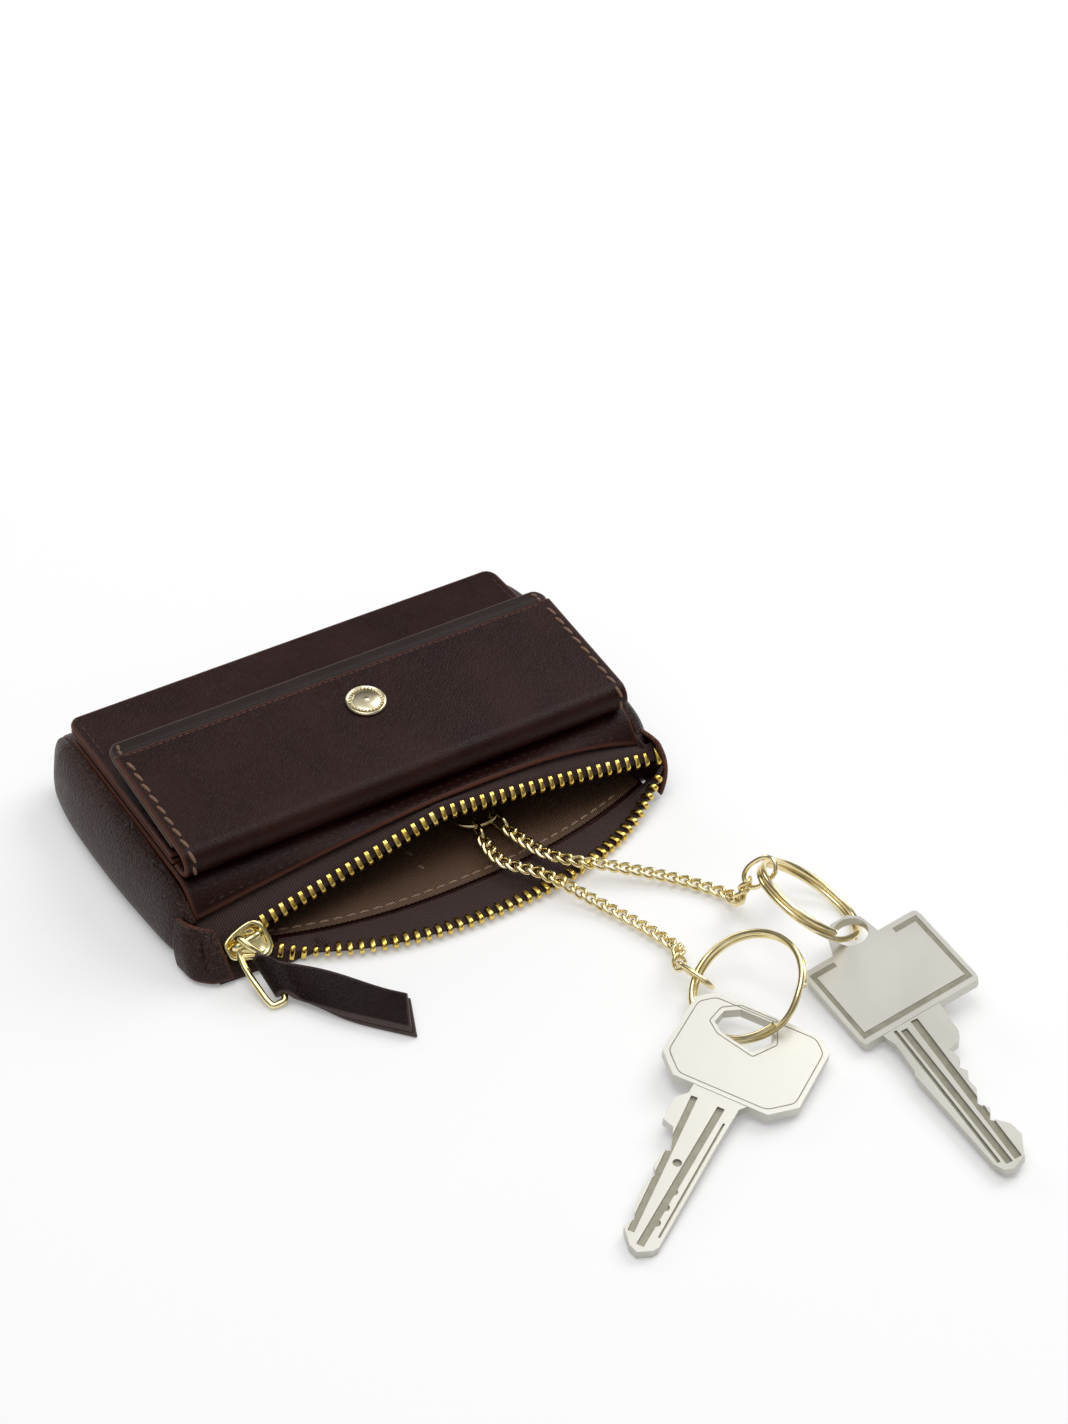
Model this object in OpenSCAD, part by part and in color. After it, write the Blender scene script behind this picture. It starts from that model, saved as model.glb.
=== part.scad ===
// Leather key case: a zip pouch with a flap pocket on top, and two curb chains that
// come out of the open zip, each with an oval link, a split ring and a flat key.
// Lengths are in millimetres. X runs along the case, the zip mouth faces -Y and Z
// is up. The origin is the middle of the pouch's flat underside.

/* [Pouch] */
// Length of the two pouch panels
panel_w = 107; // [102:0.5:110]
// Distance from the origin back to the rear fold
pouch_back = 31; // [29:0.5:34]
// Distance from the origin forward to the mouth line
pouch_mouth = 36; // [35:0.5:37]
// Height of the pouch
pouch_h = 16.6; // [16.2:0.1:17.4]
// Thickness of the pouch leather
leather_t = 1.3; // [1.1:0.05:1.4]
// Thickness of the lining
lining_t = 0.5; // [0.4:0.05:0.6]
// How far the end gussets bulge
gusset_bulge = 4.8; // [4:0.1:6]

/* [Zip] */
// Thickness of the zip tape
tape_t = 0.6; // [0.5:0.05:0.65]
// Distance between neighbouring teeth
tooth_pitch = 2.35; // [2.2:0.05:3]
// Width of a tooth along the row
tooth_w = 1.15; // [0.9:0.05:1.3]
// Height of a tooth
tooth_h = 2; // [1.7:0.05:2.1]
// Length of the slider
slider_len = 9; // [8.6:0.1:9.4]
// How far the lower lip hangs out at its middle
lip_sag = 16.8; // [14:0.2:18]

/* [Flap pocket] */
// Length of the flap and of the leaf under it
leaf_w = 106; // [96:0.5:108]
// Thickness of one leather layer of the flap and leaf
leaf_t = 1.2; // [1:0.05:1.3]
// Distance from the origin back to the leaf's rear edge
leaf_back = 28; // [26:0.5:30]
// Outer radius of the rolled front fold
fold_r = 3.5; // [3.4:0.05:3.8]
// Length of the flap behind the fold
flap_len = 34.1; // [30:0.1:36]
// Angle at which the flap stands open at rest
flap_rise = 6.4; // [6:0.1:9]

/* [Snap] */
// Diameter of the snap cap
snap_d = 10; // [8:0.2:12]
// Diameter of the snap socket and of the stud's foot
socket_d = 8; // [7.4:0.1:9]
// Diameter of the stud's knob
knob_d = 4.2; // [3.6:0.1:4.6]

/* [Pull] */
// Length of the wire bail between its bars
bail_len = 12; // [10.5:0.1:13]
// Diameter of the bail's wire
bail_wire = 1.2; // [1:0.05:1.25]
// Length of the leather tab
tab_len = 30; // [24:0.5:36]
// Width of the leather tab
tab_w = 9.5; // [8:0.1:10]
// Thickness of the two plies of the tab together
tab_t = 2.4; // [2:0.1:2.6]

/* [Chains] */
// Size of the chain links, as the distance between neighbours on a taut chain
link_pitch = 2.6; // [2.55:0.01:2.65]
// Diameter of the chain's wire
link_wire = 0.85; // [0.75:0.01:0.9]
// Diameter of the wire of the oval end links
oval_wire = 1; // [0.9:0.02:1.05]
// Outer diameter of the split rings
ring_d = 25; // [24.6:0.1:25.4]
// Diameter of the split rings' wire
ring_wire = 1.3; // [1.15:0.05:1.4]

/* [Keys] */
// Thickness of the keys' bows
bow_t = 2.2; // [2:0.05:2.3]
// Thickness of the keys' blades
blade_t = 2; // [1.8:0.05:2.1]

/* [Hidden] */
$fn = 40;
// Gap between layers that lie on each other
layer_gap = 0.1;
// Overrun of every cut
cut = 0.5;
leather = "#3a1c18";
leather_edge = "#2a1512";
fabric = "#6b5146";
brass = "#c9a24a";
pale_brass = "#d8c79a";
nickel = "#c9c8c2";

// Vectors and curves
up = [0, 0, 1];
function unit(v) = v / norm(v);
function mix(a, b, t) = a * (1 - t) + b * t;
function smooth(t) = let(c = min(1, max(0, t))) c * c * (3 - 2 * c);
function prev(i, n, closed) = closed ? (i + n - 1) % n : max(0, i - 1);
function next(i, n, closed) = closed ? (i + 1) % n : min(n - 1, i + 1);
function side2(v) = unit([-v[1], v[0]]);

// Matrix that carries the X, Y and Z axes to ex, ey and ez at the point p
function axes(p, ex, ey, ez) = [
  [ex[0], ey[0], ez[0], p[0]], [ex[1], ey[1], ez[1], p[1]],
  [ex[2], ey[2], ez[2], p[2]], [0, 0, 0, 1]];
function moved(m, p) = let(q = m * [p[0], p[1], p[2], 1]) [q[0], q[1], q[2]];

// Point i of a curve in a plane, moved across it by the distance d
function across(c, i, d) = c[i]
  + d * side2(c[next(i, len(c), false)] - c[prev(i, len(c), false)]);

// Closed outline of the band between the offsets a and b of a part of such a curve
function band_part(c, a, b, first, last) = concat([for (i = [first:last]) across(c, i, a)],
  [for (i = [last:-1:first]) across(c, i, b)]);
function band(c, a, b) = band_part(c, a, b, 0, len(c) - 1);

// Faces of a skin over m rings of n points, whose first point has the number base
function skin_faces(m, n, base, closed) = concat(
  [for (i = [0:closed ? m - 1 : m - 2]) for (k = [0:n - 1])
    let(a = base + i * n + k, b = base + i * n + (k + 1) % n,
        c = base + ((i + 1) % m) * n + (k + 1) % n, d = base + ((i + 1) % m) * n + k)
    each [[a, c, b], [a, d, c]]],
  closed ? [] : [[for (k = [0:n - 1]) base + k],
    [for (k = [n - 1:-1:0]) base + (m - 1) * n + k]]);

// Solid through a list of rings
module loft(rings) {
  polyhedron(points = [for (r = rings) each r],
    faces = skin_faces(len(rings), len(rings[0]), 0, false));
}

// Rings of a round wire along a path
function wire_rings(path, r, sides, closed, upward) = let(n = len(path))
  [for (i = [0:n - 1])
    let(t = unit(path[next(i, n, closed)] - path[prev(i, n, closed)]),
        s = unit(cross(upward, t)), u = cross(t, s))
    [for (k = [0:sides - 1]) path[i] + r * (cos(360 * k / sides) * s + sin(360 * k / sides) * u)]];

// One or more wires, each with its own list of rings, as the shells of one node
module wires(all_rings, closed) {
  m = len(all_rings[0]);
  n = len(all_rings[0][0]);
  polyhedron(points = [for (w = all_rings) for (r = w) each r],
    faces = [for (i = [0:len(all_rings) - 1]) each skin_faces(m, n, i * m * n, closed)]);
}

// Superellipse with the half sizes a and b, in the XY plane
oval_power = 2.3;
function swell(c) = sign(c) * pow(abs(c), 2 / oval_power);
function oval(a, b, steps) = [for (i = [0:steps - 1])
  [a * swell(cos(360 * i / steps)), b * swell(sin(360 * i / steps)), 0]];

// Stations along the case
half_w = panel_w / 2;
stations = 22;
function station(i) = half_w * (2 * i / stations - 1);

// Leather lips of the mouth: the upper lip arches up and the lower one hangs out
lip_low = 10.3;
lip_out = 34;
lip_back = 1.5;
lip_peak_x = 6;
lip_left_power = 1.3;
lip_right_power = 3;
function arch(x) = let(u = abs(x - lip_peak_x) / (half_w + (x < lip_peak_x ? lip_peak_x : -lip_peak_x)))
  1 - pow(min(1, u), x < lip_peak_x ? lip_left_power : lip_right_power);
function lip(x) = [-lip_out + lip_back * arch(x), mix(lip_low, pouch_h, arch(x))];

// Section of the upper panel in the YZ plane, from the lip back and down
shoulder_y = 28.5;
shoulder_swell = 0.7;
back_low = 7.5;
back_out = 1;
function front_curve(x) = let(a = lip(x), b = [-shoulder_y, pouch_h])
  [a, mix(a, b, 0.5) + shoulder_swell * (1 - arch(x)) * side2(b - a), b,
   [0, pouch_h], [pouch_back - back_low, pouch_h],
   [pouch_back - back_low / 3, mix(pouch_h, back_low, 0.15)],
   [pouch_back + back_out * 0.6, mix(pouch_h, back_low, 0.45)],
   [pouch_back + back_out, mix(pouch_h, back_low, 0.75)], [pouch_back + back_out, back_low]];

// Section of the lower panel in the YZ plane, from its front edge back and up
hem_left = 1;
hem_sag = 10.5;
lip_mid_x = 6;
lip_half_w = 51.5;
lip_power = 2.3;
seam_gap = 0.2;
function bow(x) = 1 - pow(min(1, abs(x - lip_mid_x) / lip_half_w), lip_power);
function hem(x) = -pouch_mouth - hem_left * (0.5 - x / panel_w) - hem_sag * bow(x);
function back_curve(y) = [[y, 0], [0, 0], [pouch_back - back_low * 0.7, 0],
  [pouch_back - back_low * 0.15, back_low * 0.13], [pouch_back + back_out, back_low * 0.55],
  [pouch_back + back_out, back_low - seam_gap]];

function section_x(x, ring) = [for (p = ring) [x, p[0], p[1]]];

module back_wall() {
  color(leather) loft([for (i = [0:stations]) let(x = station(i))
    section_x(x, band(back_curve(hem(x)), 0, leather_t))]);
}

module front_wall() {
  color(leather) loft([for (i = [0:stations]) let(x = station(i))
    section_x(x, band(front_curve(x), -leather_t, 0))]);
}

// Linings lie just inside the panels
lining_inset = 1.2;
lining_hem = 2.6;
function lining_x(i) = (half_w - lining_inset) * (2 * i / stations - 1);

module back_lining() {
  near = leather_t + layer_gap;
  color(fabric) loft([for (i = [0:stations]) let(x = lining_x(i))
    section_x(x, band_part(back_curve(hem(x) + lining_hem), near, near + lining_t, 0, 4))]);
}

module front_lining() {
  near = leather_t + layer_gap;
  color(fabric) loft([for (i = [0:stations]) let(x = lining_x(i))
    section_x(x, band_part(front_curve(x), -near - lining_t, -near, 2, 7))]);
}

// End gussets bulge between the panels. Each row of the table gives the place from
// mouth to back, the lower edge and upper edge as shares of the height, and the bulge.
gusset_front = 1.5;
gusset_rear = 1.5;
gusset_shares = [[0, 0, 0.64, 0.4], [0.09, 0, 0.93, 0.78], [0.4, 0, 1, 1], [0.78, 0, 1, 1],
  [0.92, 0, 0.97, 0.8], [1, 0.1, 0.84, 0.42]];
gusset_arc_shares = [[0, 0], [0.35, 0], [0.8, 0.08], [1, 0.3], [1, 0.62], [0.85, 0.86], [0.52, 1],
  [0, 1]];
module gusset() {
  rows = [for (s = gusset_shares)
    let(y = mix(-pouch_mouth + gusset_front, pouch_back - gusset_rear, s[0]),
        low = s[1] * pouch_h, high = s[2] * pouch_h, bulge = s[3] * gusset_bulge,
        arc = [for (g = gusset_arc_shares)
          [half_w + layer_gap + bulge * g[0], mix(low, high, g[1])]],
        ring = band(arc, 0, leather_t))
    [for (i = [len(ring) - 1:-1:0]) [ring[i][0], y, ring[i][1]]]];
  loft(rows);
}
module gusset_left() { color(leather) mirror([1, 0, 0]) gusset(); }
module gusset_right() { color(leather) gusset(); }

// Upper tooth row: straight from the slider to the middle, then bending to the end
zip_start = [-46, -38.6, 5.8];
zip_mid = [3, -35.07, 13.35];
zip_end = [56.5, -38, 8];
zip_bend = 1.1;
zip_lean = [0, 0.72, 0.69];
row_dir = unit(zip_mid - zip_start);
zip_up = unit(zip_lean - (zip_lean * row_dir) * row_dir);
zip_out = cross(row_dir, zip_up);
function straight_row(x) = zip_start + row_dir * ((x - zip_start[0]) / row_dir[0]);
function upper_row(x) = let(t = max(0, (x - zip_mid[0]) / (zip_end[0] - zip_mid[0])))
  straight_row(x) + (zip_end - straight_row(zip_end[0])) * pow(t, zip_bend);

// Lower tooth row: beside the upper row up to the slider, then along the lower lip
row_gap = 2;
lower_out = 2.5;
lower_z = 1.7;
left_rise = 3.8;
left_rise_x = -26;
left_rise_w = 20;
left_rise_power = 2.2;
right_rise = 6.3;
right_rise_x = 40;
right_rise_w = 16.5;
right_rise_power = 1.5;
exit_x = zip_start[0] + slider_len / 2;
function open_row(x) = [x, -pouch_mouth - lower_out - lip_sag * bow(x), lower_z
  + left_rise * pow(max(0, (left_rise_x - x) / left_rise_w), left_rise_power)
  + right_rise * pow(max(0, (x - right_rise_x) / right_rise_w), right_rise_power)];
function closed_row(x) = straight_row(x) - row_gap * zip_up;
function lower_row(x) = x >= exit_x ? open_row(x) : x <= zip_start[0] ? closed_row(x)
  : mix(closed_row(x), open_row(exit_x), (x - zip_start[0]) / (exit_x - zip_start[0]));

// Angle of the lower tape at its teeth: beside the slider it lies in the closed zip, and
// from there it turns until it points at the panel's edge
turn_from = exit_x + 1.2;
turn_to = -29;
closed_turn = 223.8;
function hem_point(x) = [hem(x), leather_t + tape_lift + tape_t / 2];
function point_yz(p) = [p[1], p[2]];
function tape_turn(x) = let(d = hem_point(x) - point_yz(lower_row(x)))
  mix(closed_turn, 360 + atan2(d[1], d[0]), smooth((x - turn_from) / (turn_to - turn_from)));

// Zip tapes, with stations closer at the ends
tape_reach = 4.2;
upper_reach = 2.8;
hem_overlap = 1.2;
tape_end = 57;
top_stop_x = 54.8;
tape_lift = 0.2;
tape_inner = half_w + 0.2 * layer_gap;
end_stations = [tape_end, top_stop_x, half_w + layer_gap, tape_inner];
function inside_panels(x) = abs(x) < half_w + layer_gap / 2 ? 1 : 0;
closed_steps = 3;
turn_steps = 9;
open_steps = 26;
tape_x = concat([for (x = end_stations) -x],
  [for (i = [1:closed_steps]) mix(-tape_inner, turn_from, i / closed_steps)],
  [for (i = [1:turn_steps]) mix(turn_from, turn_to, i / turn_steps)],
  [for (i = [1:open_steps]) mix(turn_to, tape_inner, i / open_steps)],
  [for (i = [2:-1:0]) end_stations[i]]);
lean_yz = unit([zip_lean[1], zip_lean[2]]);

function upper_tape_curve(x) = let(t = point_yz(upper_row(x)), c = front_curve(x),
    q = t + upper_reach * lean_yz, near = leather_t + tape_lift + tape_t / 2,
    deep = inside_panels(x))
  [t, q, mix(q + tape_t * lean_yz, across(c, 0, -near - tape_t / 2), deep),
   mix(q + 2 * tape_t * lean_yz, across(c, 1, -near), deep)];
module zipper_tape_upper() {
  color(fabric) loft([for (x = tape_x)
    section_x(x, band(upper_tape_curve(x), -tape_t / 2, tape_t / 2))]);
}

sewn_len = 4;
tape_floor = 0.5;
function lower_tape_curve(x) = let(t = point_yz(lower_row(x)), f = tape_turn(x),
    sewn = smooth((x - exit_x) / sewn_len), raised = smooth(2 * (x - exit_x) / sewn_len),
    fall = (t[1] - tape_floor) / max(tape_lift / 4, -sin(f)),
    reach = max(leg_len + tape_t, min(tape_reach, fall - 2 * tape_t * (1 - sewn))),
    dir = [cos(f), sin(f)], a = t + (reach + tape_t) * dir, b = a + tape_t * dir, h = hem_point(x))
  [t, t + reach * dir, [mix(a[0], h[0], sewn), mix(a[1], h[1], raised)],
   [mix(b[0], h[0] + hem_overlap, sewn), mix(b[1], h[1], raised)]];
module zipper_tape_lower() {
  color(fabric) loft([for (x = tape_x)
    section_x(x, band(lower_tape_curve(x), -tape_t / 2, tape_t / 2))]);
}

// A tooth is a head in front of the tape with two legs that grip it
head_out = 1;
head_in = 0.15;
leg_len = 1.1;
grip = tape_t / 2 + 0.3 * tape_t;
tooth_shape = [[-head_out, -tooth_h / 2], [leg_len, -tooth_h / 2], [leg_len, -grip],
  [-head_in, -grip], [-head_in, grip], [leg_len, grip], [leg_len, tooth_h / 2],
  [-head_out, tooth_h / 2]];
row_step = 0.25;
// Places along a row at even distances: pairs of length and x
function row_lengths(from, to, lower) = let(n = ceil((to - from) / row_step))
  [for (i = 0, s = 0; i <= n;
    s = s + norm(row_at(from + (i + 1) * row_step, lower) - row_at(from + i * row_step, lower)),
    i = i + 1) [s, from + i * row_step]];
function row_at(x, lower) = lower ? lower_row(x) : upper_row(x);
function into_tape(x, lower) = lower ? [0, cos(tape_turn(x)), sin(tape_turn(x))] : zip_lean;
module row_piece(x, lower, width) {
  along = unit(row_at(x + row_step, lower) - row_at(x - row_step, lower));
  inward = into_tape(x, lower);
  ex = unit(inward - (inward * along) * along);
  multmatrix(axes(row_at(x, lower), ex, cross(along, ex), along))
    linear_extrude(height = width, center = true) polygon(tooth_shape);
}
module teeth(from, to, lower) {
  table = row_lengths(from, to, lower);
  for (s = [0:tooth_pitch:table[len(table) - 1][0]]) row_piece(lookup(s, table), lower, tooth_w);
}
teeth_from = exit_x + tooth_w;
teeth_to = 51.8;
module zipper_teeth_upper() { color(brass) teeth(teeth_from, teeth_to, false); }
module zipper_teeth_lower() { color(brass) teeth(teeth_from + tooth_w, teeth_to, true); }

// Metal stops: a long one on each row at the right and a clip across both at the left
top_stop_w = 2;
module top_stops() {
  color(brass) {
    row_piece(top_stop_x, false, top_stop_w);
    row_piece(top_stop_x, true, top_stop_w);
  }
}

// Frame of the slider: X along the row, Y up the tape, Z out of the tape
slider_mid = zip_start - row_gap / 2 * zip_up;
module at_slider() { multmatrix(axes(slider_mid, row_dir, zip_up, zip_out)) children(); }

stop_len = 1.2;
stop_from = slider_len / 2 + 0.5 * stop_len;
stop_w = 4;
module bottom_stop() {
  color(brass) at_slider() translate([-stop_from - stop_len, 0, 0]) difference() {
    translate([0, -stop_w / 2, -tooth_h / 2]) cube([stop_len, stop_w, tooth_h]);
    for (side = [0, 1]) mirror([0, side, 0])
      translate([-cut, row_gap / 2 - head_in, -grip]) cube([stop_len + 2 * cut, stop_w, 2 * grip]);
  }
}

// Leather tabs over the ends of the tapes
end_tab_w = 9.5;
end_tab_len = 5;
end_tab_t = 1.2;
end_tab_chamfer = 1;
module end_tab(len) {
  linear_extrude(height = end_tab_t) polygon([[0, -end_tab_w / 2], [len - end_tab_chamfer, -end_tab_w / 2],
    [len, -end_tab_w / 2 + end_tab_chamfer], [len, end_tab_w / 2 - end_tab_chamfer],
    [len - end_tab_chamfer, end_tab_w / 2], [0, end_tab_w / 2]]);
}
module zipper_end_tab_left() {
  color(leather) at_slider() translate([-stop_from - 2 * stop_len, 0, grip + layer_gap]) mirror([1, 0, 0])
    end_tab(end_tab_len);
}
right_tab_len = 2.4;
right_tab_turn = 20;
module zipper_end_tab_right() {
  color(leather) translate([tape_end + layer_gap, mix(zip_end[1], -pouch_mouth, 0.5), zip_end[2] - end_tab_t])
    rotate([right_tab_turn, 0, 0]) rotate([0, 90, 0]) translate([-end_tab_w / 4, 0, 0])
    end_tab_right_shape();
}
module end_tab_right_shape() {
  linear_extrude(height = end_tab_t) polygon([[-end_tab_w / 3, 0], [0, -right_tab_len], [end_tab_w / 2, -right_tab_len / 2],
    [end_tab_w * 0.6, right_tab_len / 2], [0, right_tab_len]]);
}

// Slider: two plates with side walls, a wedge between the rows and an arched bridge
plate_gap = 2.4;
plate_t = 0.9;
wall_t = 0.65;
wall_gap = 1.5;
slider_w = 3.3;
slider_flare = 1.6;
slider_shares = [[-1, -1], [-1, 1], [0.87, 1], [1, 0.8], [1, -1], [0.87, -1], [0.2, -1]];
function slider_point(s, inset) = let(x = s[0] * slider_len / 2,
    flare = s[1] < 0 && s[0] > 0 ? slider_flare : 0)
  [x, s[1] * (slider_w + flare - inset)];
module slider_outline(inset) { polygon([for (s = slider_shares) slider_point(s, inset)]); }
bridge_len = 6.8;
bridge_top = 4.9;
bridge_bar_t = 1;
bridge_w = 1.2;
bridge_shares = [[-0.5, 0], [-0.4, 1], [0.4, 1], [0.5, 0]];
bridge_hole_shares = [[-0.34, 0], [-0.3, 1], [0.3, 1], [0.34, 0]];
wedge_shares = [[0.25, -0.2], [0.97, -0.09], [0.97, -0.42]];
module slider_body() {
  plate_z = plate_gap / 2;
  rise = bridge_top - plate_z - plate_t;
  color(brass) at_slider() {
    for (side = [0, 1]) mirror([0, 0, side]) {
      translate([0, 0, plate_z]) linear_extrude(height = plate_t) slider_outline(0);
      translate([0, 0, wall_gap / 2]) linear_extrude(height = plate_z - wall_gap / 2 + plate_t / 2)
        difference() {
          slider_outline(0);
          intersection() {
            slider_outline(wall_t);
            square([slider_len * 2, slider_w * 3], center = true);
          }
          translate([-slider_len, -slider_w + wall_t]) square([2 * slider_len, 2 * (slider_w - wall_t)]);
        }
    }
    translate([0, 0, -plate_z - plate_t / 2]) linear_extrude(height = plate_gap + plate_t)
      polygon([for (s = wedge_shares) [s[0] * slider_len / 2, s[1] * slider_w]]);
    translate([0, bridge_w / 2, plate_z + plate_t / 2]) rotate([90, 0, 0])
      linear_extrude(height = bridge_w) difference() {
        polygon([for (s = bridge_shares) [s[0] * bridge_len, s[1] * (rise + plate_t / 2)]]);
        polygon([for (s = bridge_hole_shares)
          [s[0] * bridge_len, s[1] * (rise + plate_t / 2 - bridge_bar_t)]]);
      }
  }
}

// Wire bail round the bridge's bar. It hangs from there until it rests on the table.
bail_rest = 21.8;
bail_near_r = 1.6;
bail_far_half = 3;
bar_mid = moved(axes(slider_mid, row_dir, zip_up, zip_out), [0, 0, bridge_top - bridge_bar_t / 2]);
bail_dir = -cos(bail_rest) * zip_up + sin(bail_rest) * zip_out;
bail_side = cross(row_dir, bail_dir);
bail_arc_steps = 8;
bail_shares = [[0.3, 0.62], [0.55, 0.86], [0.75, 1], [0.9, 0.96], [0.985, 0.75], [1, 0.45]];
function bail_half(side) = [for (s = bail_shares) [s[0] * bail_len, side * s[1] * bail_far_half]];
bail_path = concat(
  [for (i = [0:bail_arc_steps]) let(a = 90 + 180 * i / bail_arc_steps)
    [bail_near_r * cos(a), bail_near_r * sin(a)]],
  bail_half(-1), [for (i = [len(bail_shares) - 1:-1:0]) bail_half(1)[i]]);
bail_sides = 8;
module pull_bail() {
  path = [for (p = bail_path) bar_mid + p[0] * bail_dir + p[1] * bail_side];
  color(brass) wires([wire_rings(path, bail_wire / 2, bail_sides, true, row_dir)], true);
}

// Leather tab on the bail's far bar: it stands up at the bar and twists flat
bail_end = bar_mid + bail_len * bail_dir;
tab_dir = unit([0.64, -0.77, 0]);
tab_across = cross(up, tab_dir);
tab_neck_half = 1.1;
tab_neck_len = 1.8;
tab_collar_gap = 0.2;
tab_lift = 0.15;
tab_slant = 4;
tab_steps = 10;
tab_turn = 104;
tab_turn_power = 1.5;
tab_collar_r = bail_wire / 2 + tab_collar_gap;
tab_from = tab_collar_r + tab_t * 0.4;
function tab_half(s) = mix(tab_neck_half, tab_w / 2, smooth((s - tab_neck_len) / (tab_w / 2)));
function tab_angle(s) = tab_turn * pow(1 - s / tab_len, tab_turn_power);
function tab_rest_z(s) = let(a = tab_angle(s)) tab_half(s) * abs(sin(a)) + tab_t / 2 * abs(cos(a)) + tab_lift;
function tab_z(s) = max(bail_end[2] * (1 - s / tab_neck_len / 3), tab_rest_z(s));
function tab_ring(s) = let(a = tab_angle(s), w = cos(a) * tab_across + sin(a) * up,
    c = [bail_end[0], bail_end[1], 0] + s * tab_dir + tab_z(s) * up,
    n = unit(cross(tab_dir, w)), h = tab_half(s),
    slant = tab_slant * pow(s / tab_len, 8) * tab_dir)
  [c + h * w + tab_t / 2 * n + slant / 2, c - h * w + tab_t / 2 * n - slant / 2,
   c - h * w - tab_t / 2 * n - slant / 2, c + h * w - tab_t / 2 * n + slant / 2];
module pull_tab() {
  color(leather_edge) {
    loft([for (i = [0:tab_steps]) tab_ring(mix(tab_from, tab_len, i / tab_steps))]);
    multmatrix(axes(bail_end, bail_dir, row_dir, -bail_side)) difference() {
      cylinder(r = tab_collar_r + tab_t / 2, h = 2 * tab_neck_half, center = true);
      cylinder(r = tab_collar_r, h = 2 * (tab_neck_half + cut), center = true);
    }
  }
}

// Key loop inside the pouch: a folded strap with a D ring that both chains hang on
anchor_mid = [15, -27.5, 4.4];
anchor_r = 5.3;
anchor_wire = 1.2;
anchor_bar_y = 5.2;
anchor_arc = 14;
anchor_path = concat([for (i = [0:anchor_arc]) let(a = 180 + 180 * i / anchor_arc)
    anchor_mid + anchor_r * [cos(a), sin(a), 0]],
  [for (s = [[1, 0.5], [0.94, 0.9], [0.78, 1], [0.26, 1], [-0.26, 1], [-0.78, 1], [-0.94, 0.9], [-1, 0.5]])
    anchor_mid + [s[0] * anchor_r, s[1] * anchor_bar_y, 0]]);
anchor_sides = 8;
module anchor_ring() {
  color(brass) wires([wire_rings(anchor_path, anchor_wire / 2, anchor_sides, true, up)], true);
}
strap_w = 7;
strap_t = 1;
strap_gap = 0.25;
strap_steps = 12;
module key_loop_strap() {
  r = anchor_wire / 2 + strap_gap;
  top = pouch_h - leather_t - lining_t - 2 * layer_gap - anchor_mid[2];
  outer = r + strap_t;
  color(fabric) translate([anchor_mid[0], anchor_mid[1] + anchor_bar_y, anchor_mid[2]])
    rotate([90, 0, 90]) linear_extrude(height = strap_w, center = true)
    polygon(concat([for (i = [0:strap_steps]) let(a = 180 + 180 * i / strap_steps) outer * [cos(a), sin(a)]],
      [[outer, top], [-outer, top], [-outer, top - strap_t], [r, top - strap_t]],
      [for (i = [strap_steps:-1:0]) let(a = 180 + 180 * i / strap_steps) r * [cos(a), sin(a)]],
      [[-r, top / 2], [-outer, top / 2]]));
}

// Leaf on top of the pouch: a base layer and a pocket layer, both under the flap
fold_y = -26.5;
fold_lift = 0.4;
fold_z = pouch_h + fold_lift + fold_r;
leaf_gap = 0.35;
base_front = fold_y + fold_r - 0.1 * fold_r;
pocket_front = fold_y + fold_r + leaf_gap;
leaf_base_z = pouch_h + leaf_gap;
pocket_z = leaf_base_z + leaf_t + layer_gap;
leaf_corner = 3;
module leaf_outline(front, back, width) {
  polygon([[-width / 2, front], [width / 2, front], [width / 2, back - leaf_corner],
    [width / 2 - leaf_corner * 0.3, back - leaf_corner * 0.3], [width / 2 - leaf_corner, back],
    [-width / 2 + leaf_corner, back], [-width / 2 + leaf_corner * 0.3, back - leaf_corner * 0.3],
    [-width / 2, back - leaf_corner]]);
}

// Snap: its place along the case, its distance behind the fold, and its heights
snap_x = 1;
snap_run = 19.6;
snap_y = fold_y + snap_run * cos(flap_rise / 2);
post_head_t = 1;
post_r = 1.2;
post_gap = 0.2;
foot_t = 0.7;
knob_h = 1.4;
module leaf_base() {
  color(leather) difference() {
    translate([0, 0, leaf_base_z]) linear_extrude(height = leaf_t)
      leaf_outline(base_front, leaf_back, leaf_w);
    translate([snap_x, snap_y, leaf_base_z - cut]) cylinder(r = socket_d / 2 + post_gap, h = leaf_t + 2 * cut);
  }
}
module leaf_pocket() {
  color(leather) difference() {
    translate([0, 0, pocket_z]) linear_extrude(height = leaf_t)
      leaf_outline(pocket_front, leaf_back, leaf_w);
    translate([snap_x, snap_y, pocket_z - cut]) cylinder(r = post_r + post_gap, h = leaf_t + 2 * cut);
  }
}
foot_z = pocket_z + leaf_t + layer_gap / 2;
module snap_post() {
  color(pale_brass) translate([snap_x, snap_y, pocket_z - layer_gap / 2 - post_head_t]) {
    cylinder(d = socket_d, h = post_head_t);
    cylinder(r = post_r, h = post_head_t + leaf_t + layer_gap + foot_t / 2);
  }
}
module snap_stud() {
  color(pale_brass) translate([snap_x, snap_y, foot_z]) difference() {
    union() {
      cylinder(d = socket_d, h = foot_t);
      cylinder(d = knob_d, h = foot_t + knob_h);
    }
    translate([0, 0, -cut]) cylinder(r = post_r + post_gap, h = cut + foot_t * 0.7);
  }
}

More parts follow.
